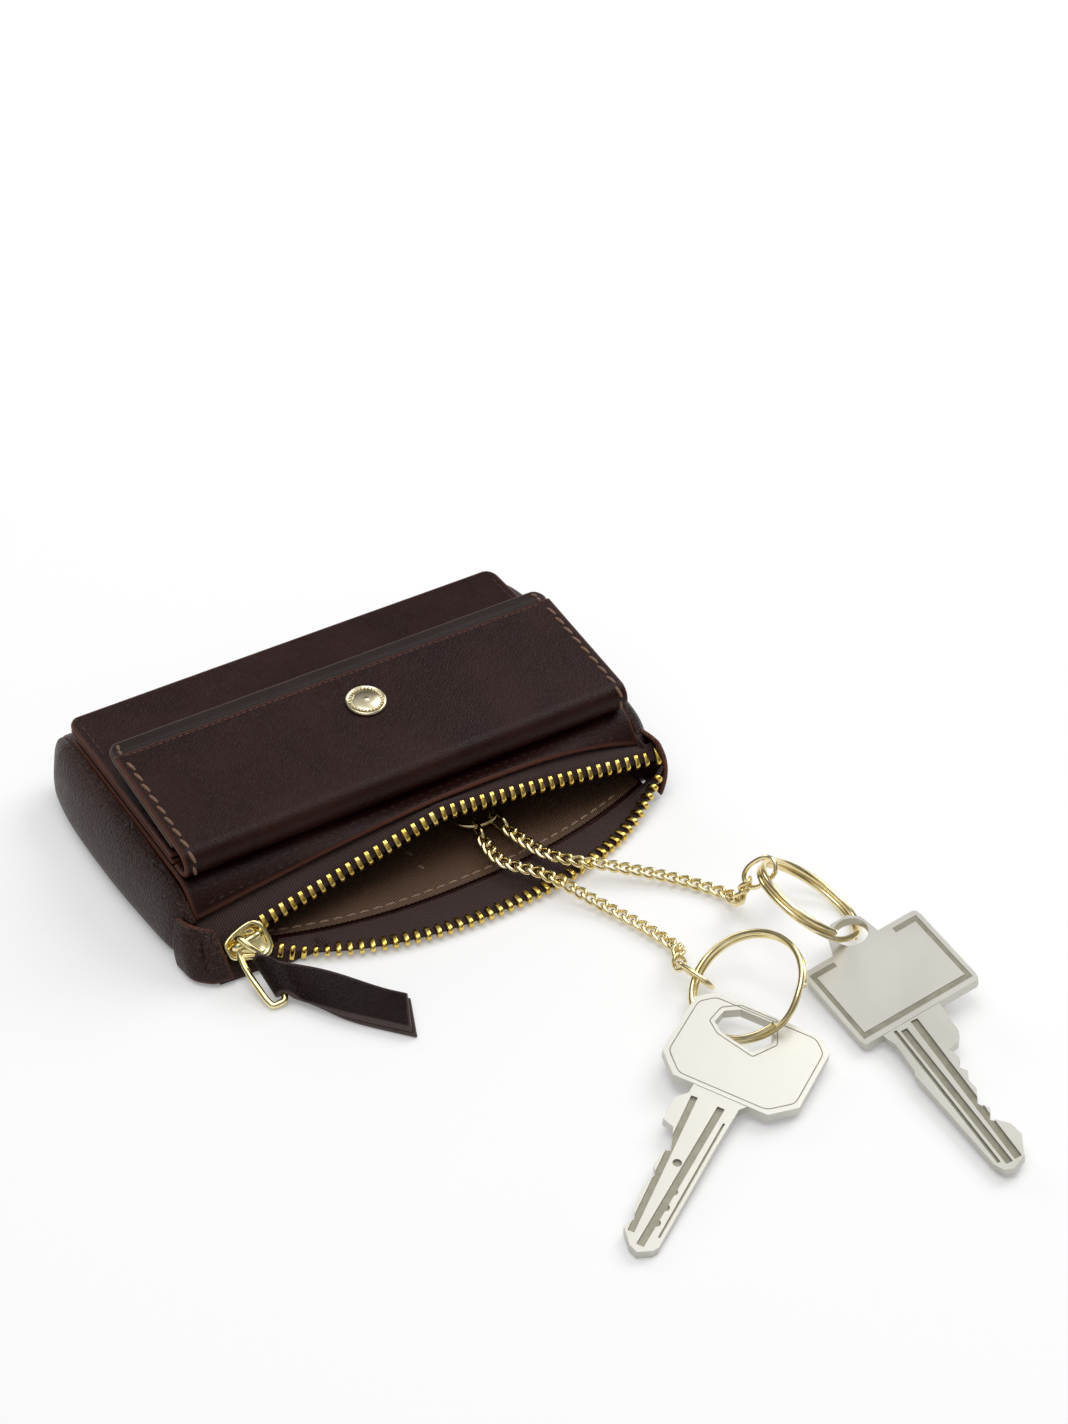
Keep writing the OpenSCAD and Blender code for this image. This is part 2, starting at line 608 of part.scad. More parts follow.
// Flap: its frame starts on the fold's axis, with Y along the flap and Z across it
module at_flap() { translate([0, fold_y, fold_z]) rotate([flap_rise, 0, 0]) children(); }
fold_steps = 14;
inner_show = 4.2;
fold_in = fold_r - leaf_t;
module flap_outer() {
  reach = flap_len - inner_show;
  profile = concat([[reach, fold_r]],
    [for (i = [0:fold_steps]) let(a = 90 + 180 * i / fold_steps) fold_r * [cos(a), sin(a)]],
    [for (i = [fold_steps:-1:0]) let(a = 90 + 180 * i / fold_steps) fold_in * [cos(a), sin(a)]],
    [[reach, fold_in]]);
  color(leather) at_flap() difference() {
    rotate([90, 0, 90]) linear_extrude(height = leaf_w, center = true) polygon(profile);
    translate([snap_x, snap_run, 0]) cylinder(r = post_r + post_gap, h = fold_r + cut);
  }
}
inner_from = 3;
inner_t = leaf_t - layer_gap;
inner_z = fold_in - layer_gap - inner_t;
module flap_inner() {
  color(leather_edge) at_flap() difference() {
    translate([0, 0, inner_z]) linear_extrude(height = inner_t) leaf_outline(inner_from, flap_len, leaf_w);
    translate([snap_x, snap_run, 0]) cylinder(r = post_r + post_gap, h = fold_r + cut);
  }
}
cap_shares = [[0, 0], [1, 0], [1, 0.28], [0.92, 0.6], [0.78, 0.7], [0.74, 0.56], [0.66, 0.56],
  [0.6, 0.78], [0.3, 0.95], [0, 1]];
cap_h = 1.3;
socket_t = 1.8;
knob_gap = 0.4;
socket_top = inner_z - layer_gap / 2;
module snap_cap() {
  color(pale_brass) at_flap() translate([snap_x, snap_run, 0]) {
    translate([0, 0, fold_r + layer_gap / 2])
      rotate_extrude() polygon([for (s = cap_shares) [s[0] * snap_d / 2, s[1] * cap_h]]);
    translate([0, 0, socket_top - socket_t * 0.15])
      cylinder(r = post_r, h = fold_r - socket_top + socket_t * 0.15 + cap_h / 2);
  }
}
module snap_socket() {
  color(pale_brass) at_flap() translate([snap_x, snap_run, socket_top - socket_t]) difference() {
    cylinder(d = socket_d, h = socket_t);
    translate([0, 0, -cut]) cylinder(d = knob_d + 2 * knob_gap, h = cut + socket_t * 0.72);
    cylinder(r = post_r + post_gap, h = socket_t + cut);
  }
}

// Chains. A route starts with shares of the chain's reach, measured from the D ring's
// middle, and ends at the middle and along the direction of the last link.
reach = 60;
route_1_shares = [[-0.035, -0.084, 0], [-0.052, -0.28, 0], [0.042, -0.43, 0.003],
  [0.15, -0.615, -0.04], [0.213, -0.77, -0.046], [0.25, -0.9, -0.042], [0.24, -0.96, -0.015]];
route_2_shares = [[0.045, -0.078, 0], [0.08, -0.27, 0], [0.13, -0.39, 0.01], [0.3, -0.515, -0.02],
  [0.46, -0.655, -0.046], [0.55, -0.79, -0.044], [0.55, -0.86, -0.018], [0.53, -0.905, 0.02]];
route_steps = 8;
function spline(a, b, c, d, t) = 0.5 * ((2 * b) + (c - a) * t + (2 * a - 5 * b + 4 * c - d) * t * t
  + (3 * b - a - 3 * c + d) * t * t * t);
function route(shares, last, dir) = let(step = link_pitch * dir,
    p = concat([for (s = shares) anchor_mid + reach * s], [last - step, last, last + step]), n = len(p))
  [for (i = [0:n - 2]) for (k = [0:route_steps - 1])
    spline(p[max(0, i - 1)], p[i], p[i + 1], p[min(n - 1, i + 2)], k / route_steps)];
function lengths(r) = [for (i = 0, s = 0; i < len(r);
  s = s + (i + 1 < len(r) ? norm(r[i + 1] - r[i]) : 0), i = i + 1) s];
function on_route(r, sums, s) = [for (axis = [0:2])
  lookup(s, [for (i = [0:len(r) - 1]) [sums[i], r[i][axis]]])];
function heading(r, sums, s) = unit(on_route(r, sums, s + link_pitch / 2)
  - on_route(r, sums, s - link_pitch / 2));

// A curb link is an oval of round wire, twisted about its long axis
link_half = 0.69 * link_pitch;
link_side = 0.445 * link_pitch;
link_turn = 50;
link_steps = 14;
link_sides = 5;
link_path = [for (p = oval(link_half, link_side, link_steps)) let(f = link_turn * p[0] / link_half)
  [p[0], p[1] * cos(f), p[1] * sin(f)]];

// Frames of a chain's links. The side is carried along the route without turning, and
// over the last links it turns until it meets the last link's own side.
first_link = 4.95;
roll_links = 6;
function level(y, d) = unit(y - (y * d) * d);
function half_turn(a) = a > 90 ? a - 180 : a < -90 ? a + 180 : a;
function chain(shares, last, dir, side, links) = let(r = route(shares, last, unit(dir)),
    sums = lengths(r), n = links - 1, pitch = (sums[len(r) - route_steps] - first_link) / n,
    d = [for (i = [0:n]) heading(r, sums, first_link + i * pitch)],
    y = [for (i = 0, v = unit(cross(up, d[0])); i <= n; i = i + 1, v = level(v, d[min(i, n)])) v],
    w = level(side, d[n]), roll = half_turn(atan2(cross(y[n], w) * d[n], y[n] * w)))
  [for (i = [0:n]) let(a = roll * smooth((i - n + roll_links) / roll_links),
      ey = cos(a) * y[i] + sin(a) * cross(d[i], y[i]))
    axes(on_route(r, sums, first_link + i * pitch), d[i], ey, cross(d[i], ey))];
function column(m, k) = [m[0][k], m[1][k], m[2][k]];
module curb_links(list, from, to) {
  wires([for (i = [from:to]) wire_rings([for (p = link_path) moved(list[i], p)],
    link_wire / 2, link_sides, true, column(list[i], 2))], true);
}

// The jump link between the D ring and the first curb link stands upright and points at
// that link
jump_half = 3;
jump_side = 2;
jump_wire = 0.75;
jump_from = 1.4;
module jump_link(shares, first) {
  from = anchor_mid + reach * shares[0];
  ex = unit(column(first, 3) - from);
  ey = unit(cross(up, ex));
  m = axes(from + jump_from * ex, ex, ey, cross(ex, ey));
  path = [for (p = oval(jump_half, jump_side, link_steps)) moved(m, [p[0], 0, p[1]])];
  wires([wire_rings(path, jump_wire / 2, link_sides, true, ey)], true);
}
root_links = 5;
middle_links = 9;
last_1_mid = [26.92, -89.6, 4.51];
last_1_dir = [-0.489, -0.843, -0.225];
last_1_side = [0.868, -0.497, -0.024];
last_2_mid = [47.78, -82.64, 10.29];
last_2_dir = [0.434, -0.087, 0.896];
last_2_side = [0.899, 0.07, -0.428];
links_1 = 24;
links_2 = 26;
chain_1 = chain(route_1_shares, last_1_mid, last_1_dir, last_1_side, links_1);
chain_2 = chain(route_2_shares, last_2_mid, last_2_dir, last_2_side, links_2);
module chain_1_root() {
  color(brass) {
    jump_link(route_1_shares, chain_1[0]);
    curb_links(chain_1, 0, root_links - 1);
  }
}
module chain_1_middle() { color(brass) curb_links(chain_1, root_links, root_links + middle_links - 1); }
module chain_1_end() { color(brass) curb_links(chain_1, root_links + middle_links, links_1 - 1); }
module chain_2_root() {
  color(brass) {
    jump_link(route_2_shares, chain_2[0]);
    curb_links(chain_2, 0, root_links - 1);
  }
}
module chain_2_middle() { color(brass) curb_links(chain_2, root_links, root_links + middle_links - 1); }
module chain_2_end() { color(brass) curb_links(chain_2, root_links + middle_links, links_2 - 1); }

// Oval end links, each with the directions of its long and short axes
oval_half = 4.3;
oval_side = 2.5;
oval_steps = 24;
oval_sides = 8;
module end_link(mid, long, short) {
  ex = unit(long);
  ey = level(short, ex);
  m = axes(mid, ex, ey, cross(ex, ey));
  path = [for (p = oval(oval_half, oval_side, oval_steps)) moved(m, p)];
  color(brass) wires([wire_rings(path, oval_wire / 2, oval_sides, true, column(m, 2))], true);
}
end_1_mid = [27.66, -94.25, 4.36];
end_1_long = [-0.314, 0.943, 0.112];
end_1_short = [-0.482, -0.26, 0.837];
end_2_mid = [49.93, -84.11, 13.86];
end_2_long = [-0.493, 0.458, -0.739];
end_2_short = [0.095, 0.873, 0.478];
module end_link_1() { end_link(end_1_mid, end_1_long, end_1_short); }
module end_link_2() { end_link(end_2_mid, end_2_long, end_2_short); }

// Split rings: one wire wound twice, with a step between the turns
ring_gap = 0.04;
ring_step_arc = 40;
ring_spare_arc = 4;
ring_stations = 64;
ring_sides = 6;
function ring_height(a) = (ring_wire + ring_gap) * (smooth((a - 360 + ring_step_arc / 2) / ring_step_arc) - 0.5);
module split_ring(mid, tilt, turn, start) {
  first = ring_step_arc / 2 + ring_spare_arc;
  path = [for (i = [0:ring_stations]) let(a = mix(first, 720 - first, i / ring_stations))
    [(ring_d - ring_wire) / 2 * cos(a + start), (ring_d - ring_wire) / 2 * sin(a + start), ring_height(a)]];
  color(brass) translate(mid) rotate([0, tilt, turn])
    wires([wire_rings(path, ring_wire / 2, ring_sides, false, up)], false);
}
ring_1_mid = [32.75, -104.9, 7.66];
ring_1_tilt = 30.3;
ring_1_turn = 175.4;
ring_2_mid = [57.47, -91.51, 8.34];
ring_2_tilt = 36.1;
ring_2_turn = -6.8;
ring_start = 60;
module split_ring_1() { split_ring(ring_1_mid, ring_1_tilt, ring_1_turn, ring_start); }
module split_ring_2() { split_ring(ring_2_mid, ring_2_tilt, ring_2_turn, ring_start); }

// Keys. X runs down the blade from the bow's top edge. Outlines are shares of the
// bow's length and half width, and of the blade's length and half width.
bow_len = 23;
bow_half = 14.5;
blade_len = 40;
blade_half = 4.5;
face_rim = 0.12;
module outline(shares, len, half) { polygon([for (s = shares) [s[0] * len, s[1] * half]]); }
module grooves(list, depth) {
  for (g = list) {
    a = [bow_len + g[0] * blade_len, g[1] * blade_half];
    b = [bow_len + g[2] * blade_len, g[3] * blade_half];
    translate([a[0], a[1], 0]) rotate([0, 0, atan2(b[1] - a[1], b[0] - a[0])])
      translate([0, -g[4] * blade_half / 2, blade_t / 2 - depth])
      cube([norm(b - a), g[4] * blade_half, depth + cut]);
  }
}

bow_1_shares = [[0.13, -1], [0.8, -1], [1, -0.7], [1, 0.68], [0.8, 1], [0.13, 1], [0, 0.8], [0, -0.8]];
slot_1_shares = [[0.3, -0.59], [0.15, -0.55], [0.065, -0.36], [0.065, 0.11], [0.27, 0.255],
  [0.45, 0.07], [0.38, -0.43]];
blade_1_shares = [[-0.06, -1.26], [0.06, -1.26], [0.12, -1.67], [0.265, -1.64], [0.285, -1.07],
  [0.35, -0.84], [0.41, -0.66], [0.43, -0.95], [0.53, -0.95], [0.575, -0.7], [0.65, -0.88],
  [0.72, -0.85], [0.8, -0.7], [0.85, -0.5], [0.92, -0.7], [1, -0.1], [1.02, 0.3], [0.98, 0.85],
  [0.95, 1], [0.27, 0.96], [0.04, 1], [-0.01, 1.3], [-0.06, 1.5]];
grooves_1 = [[0.07, -0.95, 0.93, -0.35, 0.3], [0.07, 0.3, 0.98, 0.28, 0.34], [0.15, 0.75, 0.9, 0.8, 0.1]];
dimples_1 = [[0.47, -0.13], [0.63, 0.34], [0.73, 0.38], [0.83, 0.38]];
groove_depth = 0.5;
dimple_r = 0.9;
module key_1_flat() {
  difference() {
    union() {
      linear_extrude(height = bow_t, center = true) outline(bow_1_shares, bow_len, bow_half);
      linear_extrude(height = blade_t, center = true) outline_from(blade_1_shares);
    }
    linear_extrude(height = bow_t + 2 * cut, center = true) outline(slot_1_shares, bow_len, bow_half);
    for (side = [0, 1]) mirror([0, 0, side])
      grooves(grooves_1, groove_depth);
    for (d = dimples_1) translate([bow_len + d[0] * blade_len, d[1] * blade_half, blade_t / 2 - groove_depth])
      cylinder(r = dimple_r, h = groove_depth + cut);
  }
}
module outline_from(shares) {
  translate([bow_len, 0]) outline(shares, blade_len, blade_half);
}

bow_2_len = 22.5;
bow_2_shares = [[0.07, -1], [0.93, -1], [0.98, -0.98], [1, -0.93], [1, 0.93], [0.98, 0.98], [0.93, 1],
  [0.07, 1], [0.02, 0.98], [0, 0.93], [0, 0.33], [-0.1, 0.31], [-0.23, 0.28], [-0.32, 0.14],
  [-0.32, -0.16], [-0.23, -0.3], [-0.1, -0.38], [0, -0.45], [0, -0.93], [0.02, -0.98]];
border_2 = [0.06, 0.93, 0.12, 0.86];
blade_2_shares = [[-0.04, -2.16], [0.03, -2.05], [0.07, -1.95], [0.26, -2.1], [0.28, -2.2],
  [0.93, -2.18], [0.98, -2], [1, -1.6], [0.97, -0.9], [0.86, -0.33], [0.78, -0.4], [0.7, -0.95],
  [0.65, -0.62], [0.59, -0.88], [0.52, -0.49], [0.45, -0.5], [0.41, -0.25], [0.36, -0.48], [0.32, -0.12],
  [0.25, -0.25], [0.24, 0.3], [0.19, 0.67], [0, 0.86], [-0.04, 0.86]];
grooves_2 = [[0, -1.55, 0.93, -1.95, 0.14], [0.02, -1.2, 0.96, -1.6, 0.3], [0.0, -0.55, 0.96, -1.15, 0.34]];
hole_2 = [-3, 0];
hole_2_r = 3.6;
module key_2_flat() {
  half_2 = bow_half - bow_t / 4;
  difference() {
    union() {
      linear_extrude(height = bow_t, center = true) outline(bow_2_shares, bow_2_len, half_2);
      linear_extrude(height = blade_t, center = true) outline_from(blade_2_shares);
    }
    translate([hole_2[0], hole_2[1], 0]) cylinder(r = hole_2_r, h = bow_t + 2 * cut, center = true);
    for (side = [0, 1]) mirror([0, 0, side]) {
      grooves(grooves_2, groove_depth);
      translate([0, 0, bow_t / 2 - face_rim]) linear_extrude(height = face_rim + cut) difference() {
        translate([border_2[0] * bow_2_len, -border_2[1] * half_2])
          square([(1 - 2 * border_2[0]) * bow_2_len, 2 * border_2[1] * half_2]);
        translate([border_2[2] * bow_2_len, -border_2[3] * half_2])
          square([(1 - 2 * border_2[2]) * bow_2_len, 2 * border_2[3] * half_2]);
        translate([-cut, hole_2[1] - 2 * hole_2_r]) square([bow_2_len / 2, 4 * hole_2_r]);
      }
    }
  }
}
key_1_mid = [32.94, -111.85, 4.59];
key_1_turn = [-5.13, 2.96, -148.3];
key_2_mid = [60.75, -104.73, 5];
key_2_turn = [12.29, 1.1, -92.6];
module key_1() { color(nickel) translate(key_1_mid) rotate(key_1_turn) key_1_flat(); }
module key_2() { color(nickel) translate(key_2_mid) rotate(key_2_turn) key_2_flat(); }

back_wall();
front_wall();
gusset_left();
gusset_right();
back_lining();
front_lining();
zipper_tape_upper();
zipper_tape_lower();
zipper_teeth_upper();
zipper_teeth_lower();
zipper_end_tab_left();
zipper_end_tab_right();
bottom_stop();
top_stops();
key_loop_strap();
leaf_base();
leaf_pocket();
snap_stud();
snap_post();
flap_outer();
flap_inner();
snap_cap();
snap_socket();
slider_body();
pull_bail();
pull_tab();
anchor_ring();
chain_1_root();
chain_1_middle();
chain_1_end();
end_link_1();
split_ring_1();
key_1();
chain_2_root();
chain_2_middle();
chain_2_end();
end_link_2();
split_ring_2();
key_2();
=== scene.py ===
import math

import bmesh
import bpy
import numpy as np
from mathutils import Matrix, Vector


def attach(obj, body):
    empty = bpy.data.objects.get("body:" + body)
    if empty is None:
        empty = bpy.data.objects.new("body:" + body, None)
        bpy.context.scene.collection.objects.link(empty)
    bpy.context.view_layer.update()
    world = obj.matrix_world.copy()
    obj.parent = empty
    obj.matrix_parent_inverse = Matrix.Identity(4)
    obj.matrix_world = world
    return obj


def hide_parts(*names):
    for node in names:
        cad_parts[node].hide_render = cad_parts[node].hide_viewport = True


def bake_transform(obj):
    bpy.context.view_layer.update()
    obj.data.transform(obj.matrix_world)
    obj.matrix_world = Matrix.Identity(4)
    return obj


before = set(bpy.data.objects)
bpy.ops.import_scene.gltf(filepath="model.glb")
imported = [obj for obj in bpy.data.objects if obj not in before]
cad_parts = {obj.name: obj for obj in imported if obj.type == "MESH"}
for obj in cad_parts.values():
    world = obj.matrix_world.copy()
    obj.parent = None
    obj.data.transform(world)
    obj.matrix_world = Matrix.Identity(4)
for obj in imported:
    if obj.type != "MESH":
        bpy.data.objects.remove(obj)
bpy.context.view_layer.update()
mm = 0.001

# One object of the scene.
def addObject(name, data):
    thing = bpy.data.objects.new(name, data)
    bpy.context.scene.collection.objects.link(thing)
    return thing


# camera: fitted to the case's edges, the snap and the keys
cameraSet = {"place": (-0.22048, -0.43216, 0.41293), "yaw": 31.883, "pitch": 39.161, "roll": 0.39,
             "focalPx": 2896.1, "axisPx": (536.9, 711.3), "framePx": (1068, 1424), "sensorMm": 36}


def addCamera(c):
    yaw, pitch, roll = (math.radians(c[k]) for k in ("yaw", "pitch", "roll"))
    ahead = Vector((math.sin(yaw) * math.cos(pitch), math.cos(yaw) * math.cos(pitch), -math.sin(pitch)))
    right = ahead.cross(Vector((0, 0, 1))).normalized()
    above = right.cross(ahead)
    right, above = (right * math.cos(roll) + above * math.sin(roll),
                    above * math.cos(roll) - right * math.sin(roll))
    data = bpy.data.cameras.new("camera")
    wide, high = c["framePx"]
    data.sensor_fit, data.sensor_width = "HORIZONTAL", c["sensorMm"]
    data.lens = c["sensorMm"] * c["focalPx"] / wide
    data.shift_x = -(c["axisPx"][0] - wide / 2) / wide
    data.shift_y = (c["axisPx"][1] - high / 2) / wide
    data.clip_start, data.clip_end = 0.01, 20
    camera = addObject("camera", data)
    camera.matrix_world = Matrix.Translation(c["place"]) @ Matrix((right, above, -ahead)).transposed().to_4x4()
    bpy.context.scene.camera = camera


addCamera(cameraSet)
bpy.context.scene.view_settings.view_transform = "Standard"
print("camera placed")


# materials
# sRGB hex to linear colour: each channel goes through the sRGB curve.
def linear(hexCode):
    c = np.array([int(hexCode[i:i + 2], 16) for i in (1, 3, 5)]) / 255
    return (*np.where(c <= 0.04045, c / 12.92, ((c + 0.055) / 1.055) ** 2.4), 1.0)


# One node with its settings; an input is a value or the socket that feeds it.
def addNode(tree, kind, inputs=None, **settings):
    n = tree.nodes.new("ShaderNode" + kind)
    for key, value in settings.items():
        setattr(n, key, value)
    for key, value in (inputs or {}).items():
        if isinstance(value, bpy.types.NodeSocket):
            tree.links.new(value, n.inputs[key])
        else:
            n.inputs[key].default_value = value
    return n


def startMaterial(name):
    m = bpy.data.materials.new(name)
    m.use_nodes = True
    m.node_tree.nodes.clear()
    return m, m.node_tree


def finishMaterial(tree, shader):
    addNode(tree, "OutputMaterial", {"Surface": shader})


# Colour ramp over stops of (place, grey or colour).
def ramp(tree, source, stops):
    n = addNode(tree, "ValToRGB", {"Fac": source})
    e = n.color_ramp.elements
    while len(e) < len(stops):
        e.new(0.5)
    for item, (place, value) in zip(e, stops):
        item.position = place
        item.color = (value, value, value, 1) if isinstance(value, float) else value
    return n.outputs["Color"]


# Cloudy noise over the piece, with patches of the given width.
def noise(t, wideMm, detail, roughness=0.5):
    place = addNode(t, "TexCoord").outputs["Object"]
    return addNode(t, "TexNoise", {"Vector": place, "Scale": 1000 / wideMm, "Detail": detail,
        "Roughness": roughness}).outputs["Fac"]


# Two tones over a source between zero and one.
def tones(t, source, low, dark, high, light):
    return ramp(t, source, [(low, linear(dark)), (high, linear(light))])


# Roughness that goes over the span as the noise goes from low to high.
def roughFrom(t, source, span):
    return addNode(t, "MapRange", {"Value": source, "From Min": 0.3, "From Max": 0.7, "To Min": span[0],
        "To Max": span[1]}).outputs[0]


# Principled shader with a bumped normal, joined to the output.
def finishShader(t, color, rough, height, strength, depth, more):
    bump = addNode(t, "Bump", {"Height": height, "Strength": strength, "Distance": depth})
    inputs = {"Base Color": color, "Roughness": rough, "Normal": bump.outputs[0], **more}
    finishMaterial(t, addNode(t, "BsdfPrincipled", inputs).outputs[0])


# Glazed leather: the cells' creases times fine pores give the pebbled grain, cloudy noise the tone and the
# roughness, and the worn rims are brighter.
def leatherMaterial(name, look):
    m, t = startMaterial(name)
    cloud = noise(t, look["cloudMm"], 4.0, 0.55)
    tone = tones(t, cloud, 0.32, look["dark"], 0.7, look["light"])
    worn = ramp(t, addNode(t, "Attribute", attribute_name="rim").outputs["Fac"], [(0.0, 1.0), (0.55, 0.0)])
    color = addNode(t, "Mix", {"Factor": worn, 6: tone, 7: linear(look["rim"])}, data_type="RGBA")
    cells = addNode(t, "TexVoronoi", {"Vector": addNode(t, "TexCoord").outputs["Object"],
        "Scale": 1000 / look["grainMm"]}, feature="DISTANCE_TO_EDGE")
    crease = ramp(t, cells.outputs["Distance"], [(0.0, 0.0), (0.16, 1.0)])
    high = addNode(t, "Math", {0: crease, 1: noise(t, look["poreMm"], 3.0), 2: noise(t, look["dragMm"], 2.0)},
        operation="MULTIPLY_ADD")
    finishShader(t, color.outputs[2], roughFrom(t, cloud, look["rough"]), high.outputs[0], look["grain"],
        look["grainDepth"], {"IOR": 1.5, "Specular IOR Level": look["gloss"]})
    return m


leatherLook = {"dark": "#1e0806", "light": "#2c120e", "rim": "#5e3629", "cloudMm": 16, "grainMm": 0.75,
               "poreMm": 0.3, "dragMm": 3.5, "grain": 0.6, "grainDepth": 0.00012, "rough": (0.3, 0.4), "gloss": 0.17}
leather = leatherMaterial("glazedCalfLeather", leatherLook)
smoothLeather = leatherMaterial("smoothCalfLeather", dict(leatherLook, dark="#251a18", light="#2f221f",
    rim="#5c4a42", grain=0.3, rough=(0.36, 0.48)))
gussetLeather = leatherMaterial("pebbledCalfLeather", dict(leatherLook, dark="#24110c", light="#351a13",
    grainMm=1.2, grain=1.0, grainDepth=0.0003, gloss=0.26))
tabLeather = leatherMaterial("waxedTabLeather", dict(leatherLook, dark="#120806", light="#1d0e0b",
    rim="#5a4c4a", grain=1.0, gloss=0.12))


# Woven cloth: ribs across the piece's own UV map, which is in millimetres, and a soft sheen.
def clothMaterial(name, look):
    m, t = startMaterial(name)
    turned = addNode(t, "Mapping", {"Vector": addNode(t, "UVMap").outputs[0],
        "Rotation": (0, 0, math.radians(look["turn"])), "Scale": (1 / look["pitchMm"],) * 3})
    wave = addNode(t, "TexWave", {"Vector": turned.outputs[0], "Scale": 0.5, "Distortion": 0.25, "Detail": 2.0,
        "Detail Scale": 1.5}).outputs["Fac"]
    base = tones(t, wave, 0.15, look["dark"], 0.75, look["light"])
    shade = ramp(t, noise(t, 9, 3.0), [(0.3, 0.8), (0.7, 1.0)])
    color = addNode(t, "Mix", {"Factor": 1.0, 6: base, 7: shade}, data_type="RGBA", blend_type="MULTIPLY")
    finishShader(t, color.outputs[2], look["rough"], wave, 0.6, look["depth"],
        {"Sheen Weight": look["sheen"], "Sheen Roughness": 0.4, "Specular IOR Level": 0.3})
    return m


liningCloth = clothMaterial("twillLining", {"dark": "#3a271a", "light": "#6b4c35", "pitchMm": 0.8, "turn": 62,
    "depth": 0.00014, "rough": 0.5, "sheen": 0.2})
tapeCloth = clothMaterial("wovenZipTape", {"dark": "#20120f", "light": "#442e2b", "pitchMm": 0.85, "turn": 0,
    "depth": 0.00016, "rough": 0.7, "sheen": 0.2})
strapCloth = clothMaterial("wovenLoopStrap", {"dark": "#30221f", "light": "#4c3830", "pitchMm": 0.8, "turn": 0,
    "depth": 0.0001, "rough": 0.7, "sheen": 0.25})


# Waxed sewing thread: its plies are a fine ripple of tone and height.
def threadMaterial(name, hexCode):
    m, t = startMaterial(name)
    plies, light = noise(t, 0.4, 2.0), linear(hexCode)
    color = ramp(t, plies, [(0.3, tuple(c * 0.6 for c in light[:3]) + (1,)), (0.7, light)])
    finishShader(t, color, 0.6, plies, 0.5, 0.0001, {})
    return m


brownThread = threadMaterial("waxedBrownThread", "#84634f")
darkThread = threadMaterial("waxedDarkThread", "#3a2520")
taupeThread = threadMaterial("taupeThread", "#9c8069")
redThread = threadMaterial("russetThread", "#6e3d2c")


# Plated metal: near mirror with faint polishing marks and a slow change of tone and roughness.
def metalMaterial(name, dark, light, rough, patchMm, markMm, marks):
    m, t = startMaterial(name)
    slow = noise(t, patchMm, 4.0)
    finishShader(t, tones(t, slow, 0.3, dark, 0.7, light), roughFrom(t, slow, rough), noise(t, markMm, 2.0),
        marks, 0.00003, {"Metallic": 1.0})
    return m


zipBrass = metalMaterial("polishedZipBrass", "#dcb650", "#f3d67e", (0.12, 0.26), 3, 0.5, 0.1)
chainBrass = metalMaterial("lightGoldPlate", "#e3cf92", "#f7eac0", (0.08, 0.22), 4, 0.6, 0.08)
snapBrass = metalMaterial("paleGoldPlate", "#cdbf9c", "#e6dcbe", (0.16, 0.24), 6, 0.5, 0.03)
keyNickel = metalMaterial("satinNickel", "#c6c4bb", "#cfcdc5", (0.42, 0.5), 18, 0.3, 0.2)
# darker, rougher nickel for the keys' milled floors and engraved lines: painted shade in the grooves
grooveShadeNickel = metalMaterial("grooveShadeNickel", "#8b8778", "#a29e8f", (0.5, 0.6), 2, 0.25, 0.6)
polishedSlider = metalMaterial("polishedPaleBrass", "#e0cf8e", "#f4e6b4", (0.08, 0.16), 4, 0.6, 0.05)
print("materials made")


# mesh tools
# Smooth mesh as a piece that rides on a body and stands for a node, where these are given.
def putPiece(name, mesh, body, nodeName):
    mesh.polygons.foreach_set("use_smooth", np.ones(len(mesh.polygons), bool))
    piece = addObject(name, mesh)
    if body:
        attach(piece, body)
    if nodeName:
        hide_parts(nodeName)
    return piece


# Piece of points in millimetres; uv and rim are given per point.
def putMesh(name, points, faces, material, body, slotName, nodeName=None, uv=None, rim=None):
    mesh = bpy.data.meshes.new(name)
    mesh.from_pydata((np.asarray(points, float) * mm).tolist(), [], [list(f) for f in faces])
    if uv is not None:
        corner = np.zeros(len(mesh.loops), np.int32)
        mesh.loops.foreach_get("vertex_index", corner)
        layer = mesh.uv_layers.new(name="UVMap")
        layer.data.foreach_set("uv", np.asarray(uv, np.float32)[corner].ravel())
        mesh.attributes.new("rim", "FLOAT", "POINT").data.foreach_set("value", np.asarray(rim, np.float32))
    mesh.materials.append(material)
    return putPiece(name, mesh, body, nodeName)


# Several points-and-faces pairs as one piece.
def putParts(name, parts, *rest):
    points, faces, base = [], [], 0
    for p, f in parts:
        points.append(np.asarray(p))
        faces += [[base + i for i in q] for q in f]
        base += len(p)
    return putMesh(name, np.concatenate(points), faces, *rest)


# Quads of a grid of nu by nv points numbered row by row, joined round where a side is closed.
def gridFaces(nu, nv, closedU=False, closedV=False):
    i, j = np.meshgrid(np.arange(nu if closedU else nu - 1), np.arange(nv if closedV else nv - 1), indexing="ij")
    i2, j2 = (i + 1) % nu, (j + 1) % nv
    return np.stack([i * nv + j, i2 * nv + j, i2 * nv + j2, i * nv + j2], -1).reshape(-1, 4)


def unit(v):
    v = np.asarray(v, float)
    return v / np.maximum(np.linalg.norm(v, axis=-1, keepdims=True), 1e-12)


def normalsOf(grid):
    return unit(np.cross(np.gradient(grid, axis=0), np.gradient(grid, axis=1)))


# Length run up to each point of a path.
def runOf(path):
    return np.concatenate([[0], np.cumsum(np.linalg.norm(np.diff(path, axis=0), axis=1))])


# Columns of a table read at places between its rows.
def readAt(at, places, table):
    return np.stack([np.interp(at, places, table[:, k]) for k in range(table.shape[1])], -1)


def easeIn(t):
    c = np.clip(t, 0, 1)
    return c * c * (3 - 2 * c)


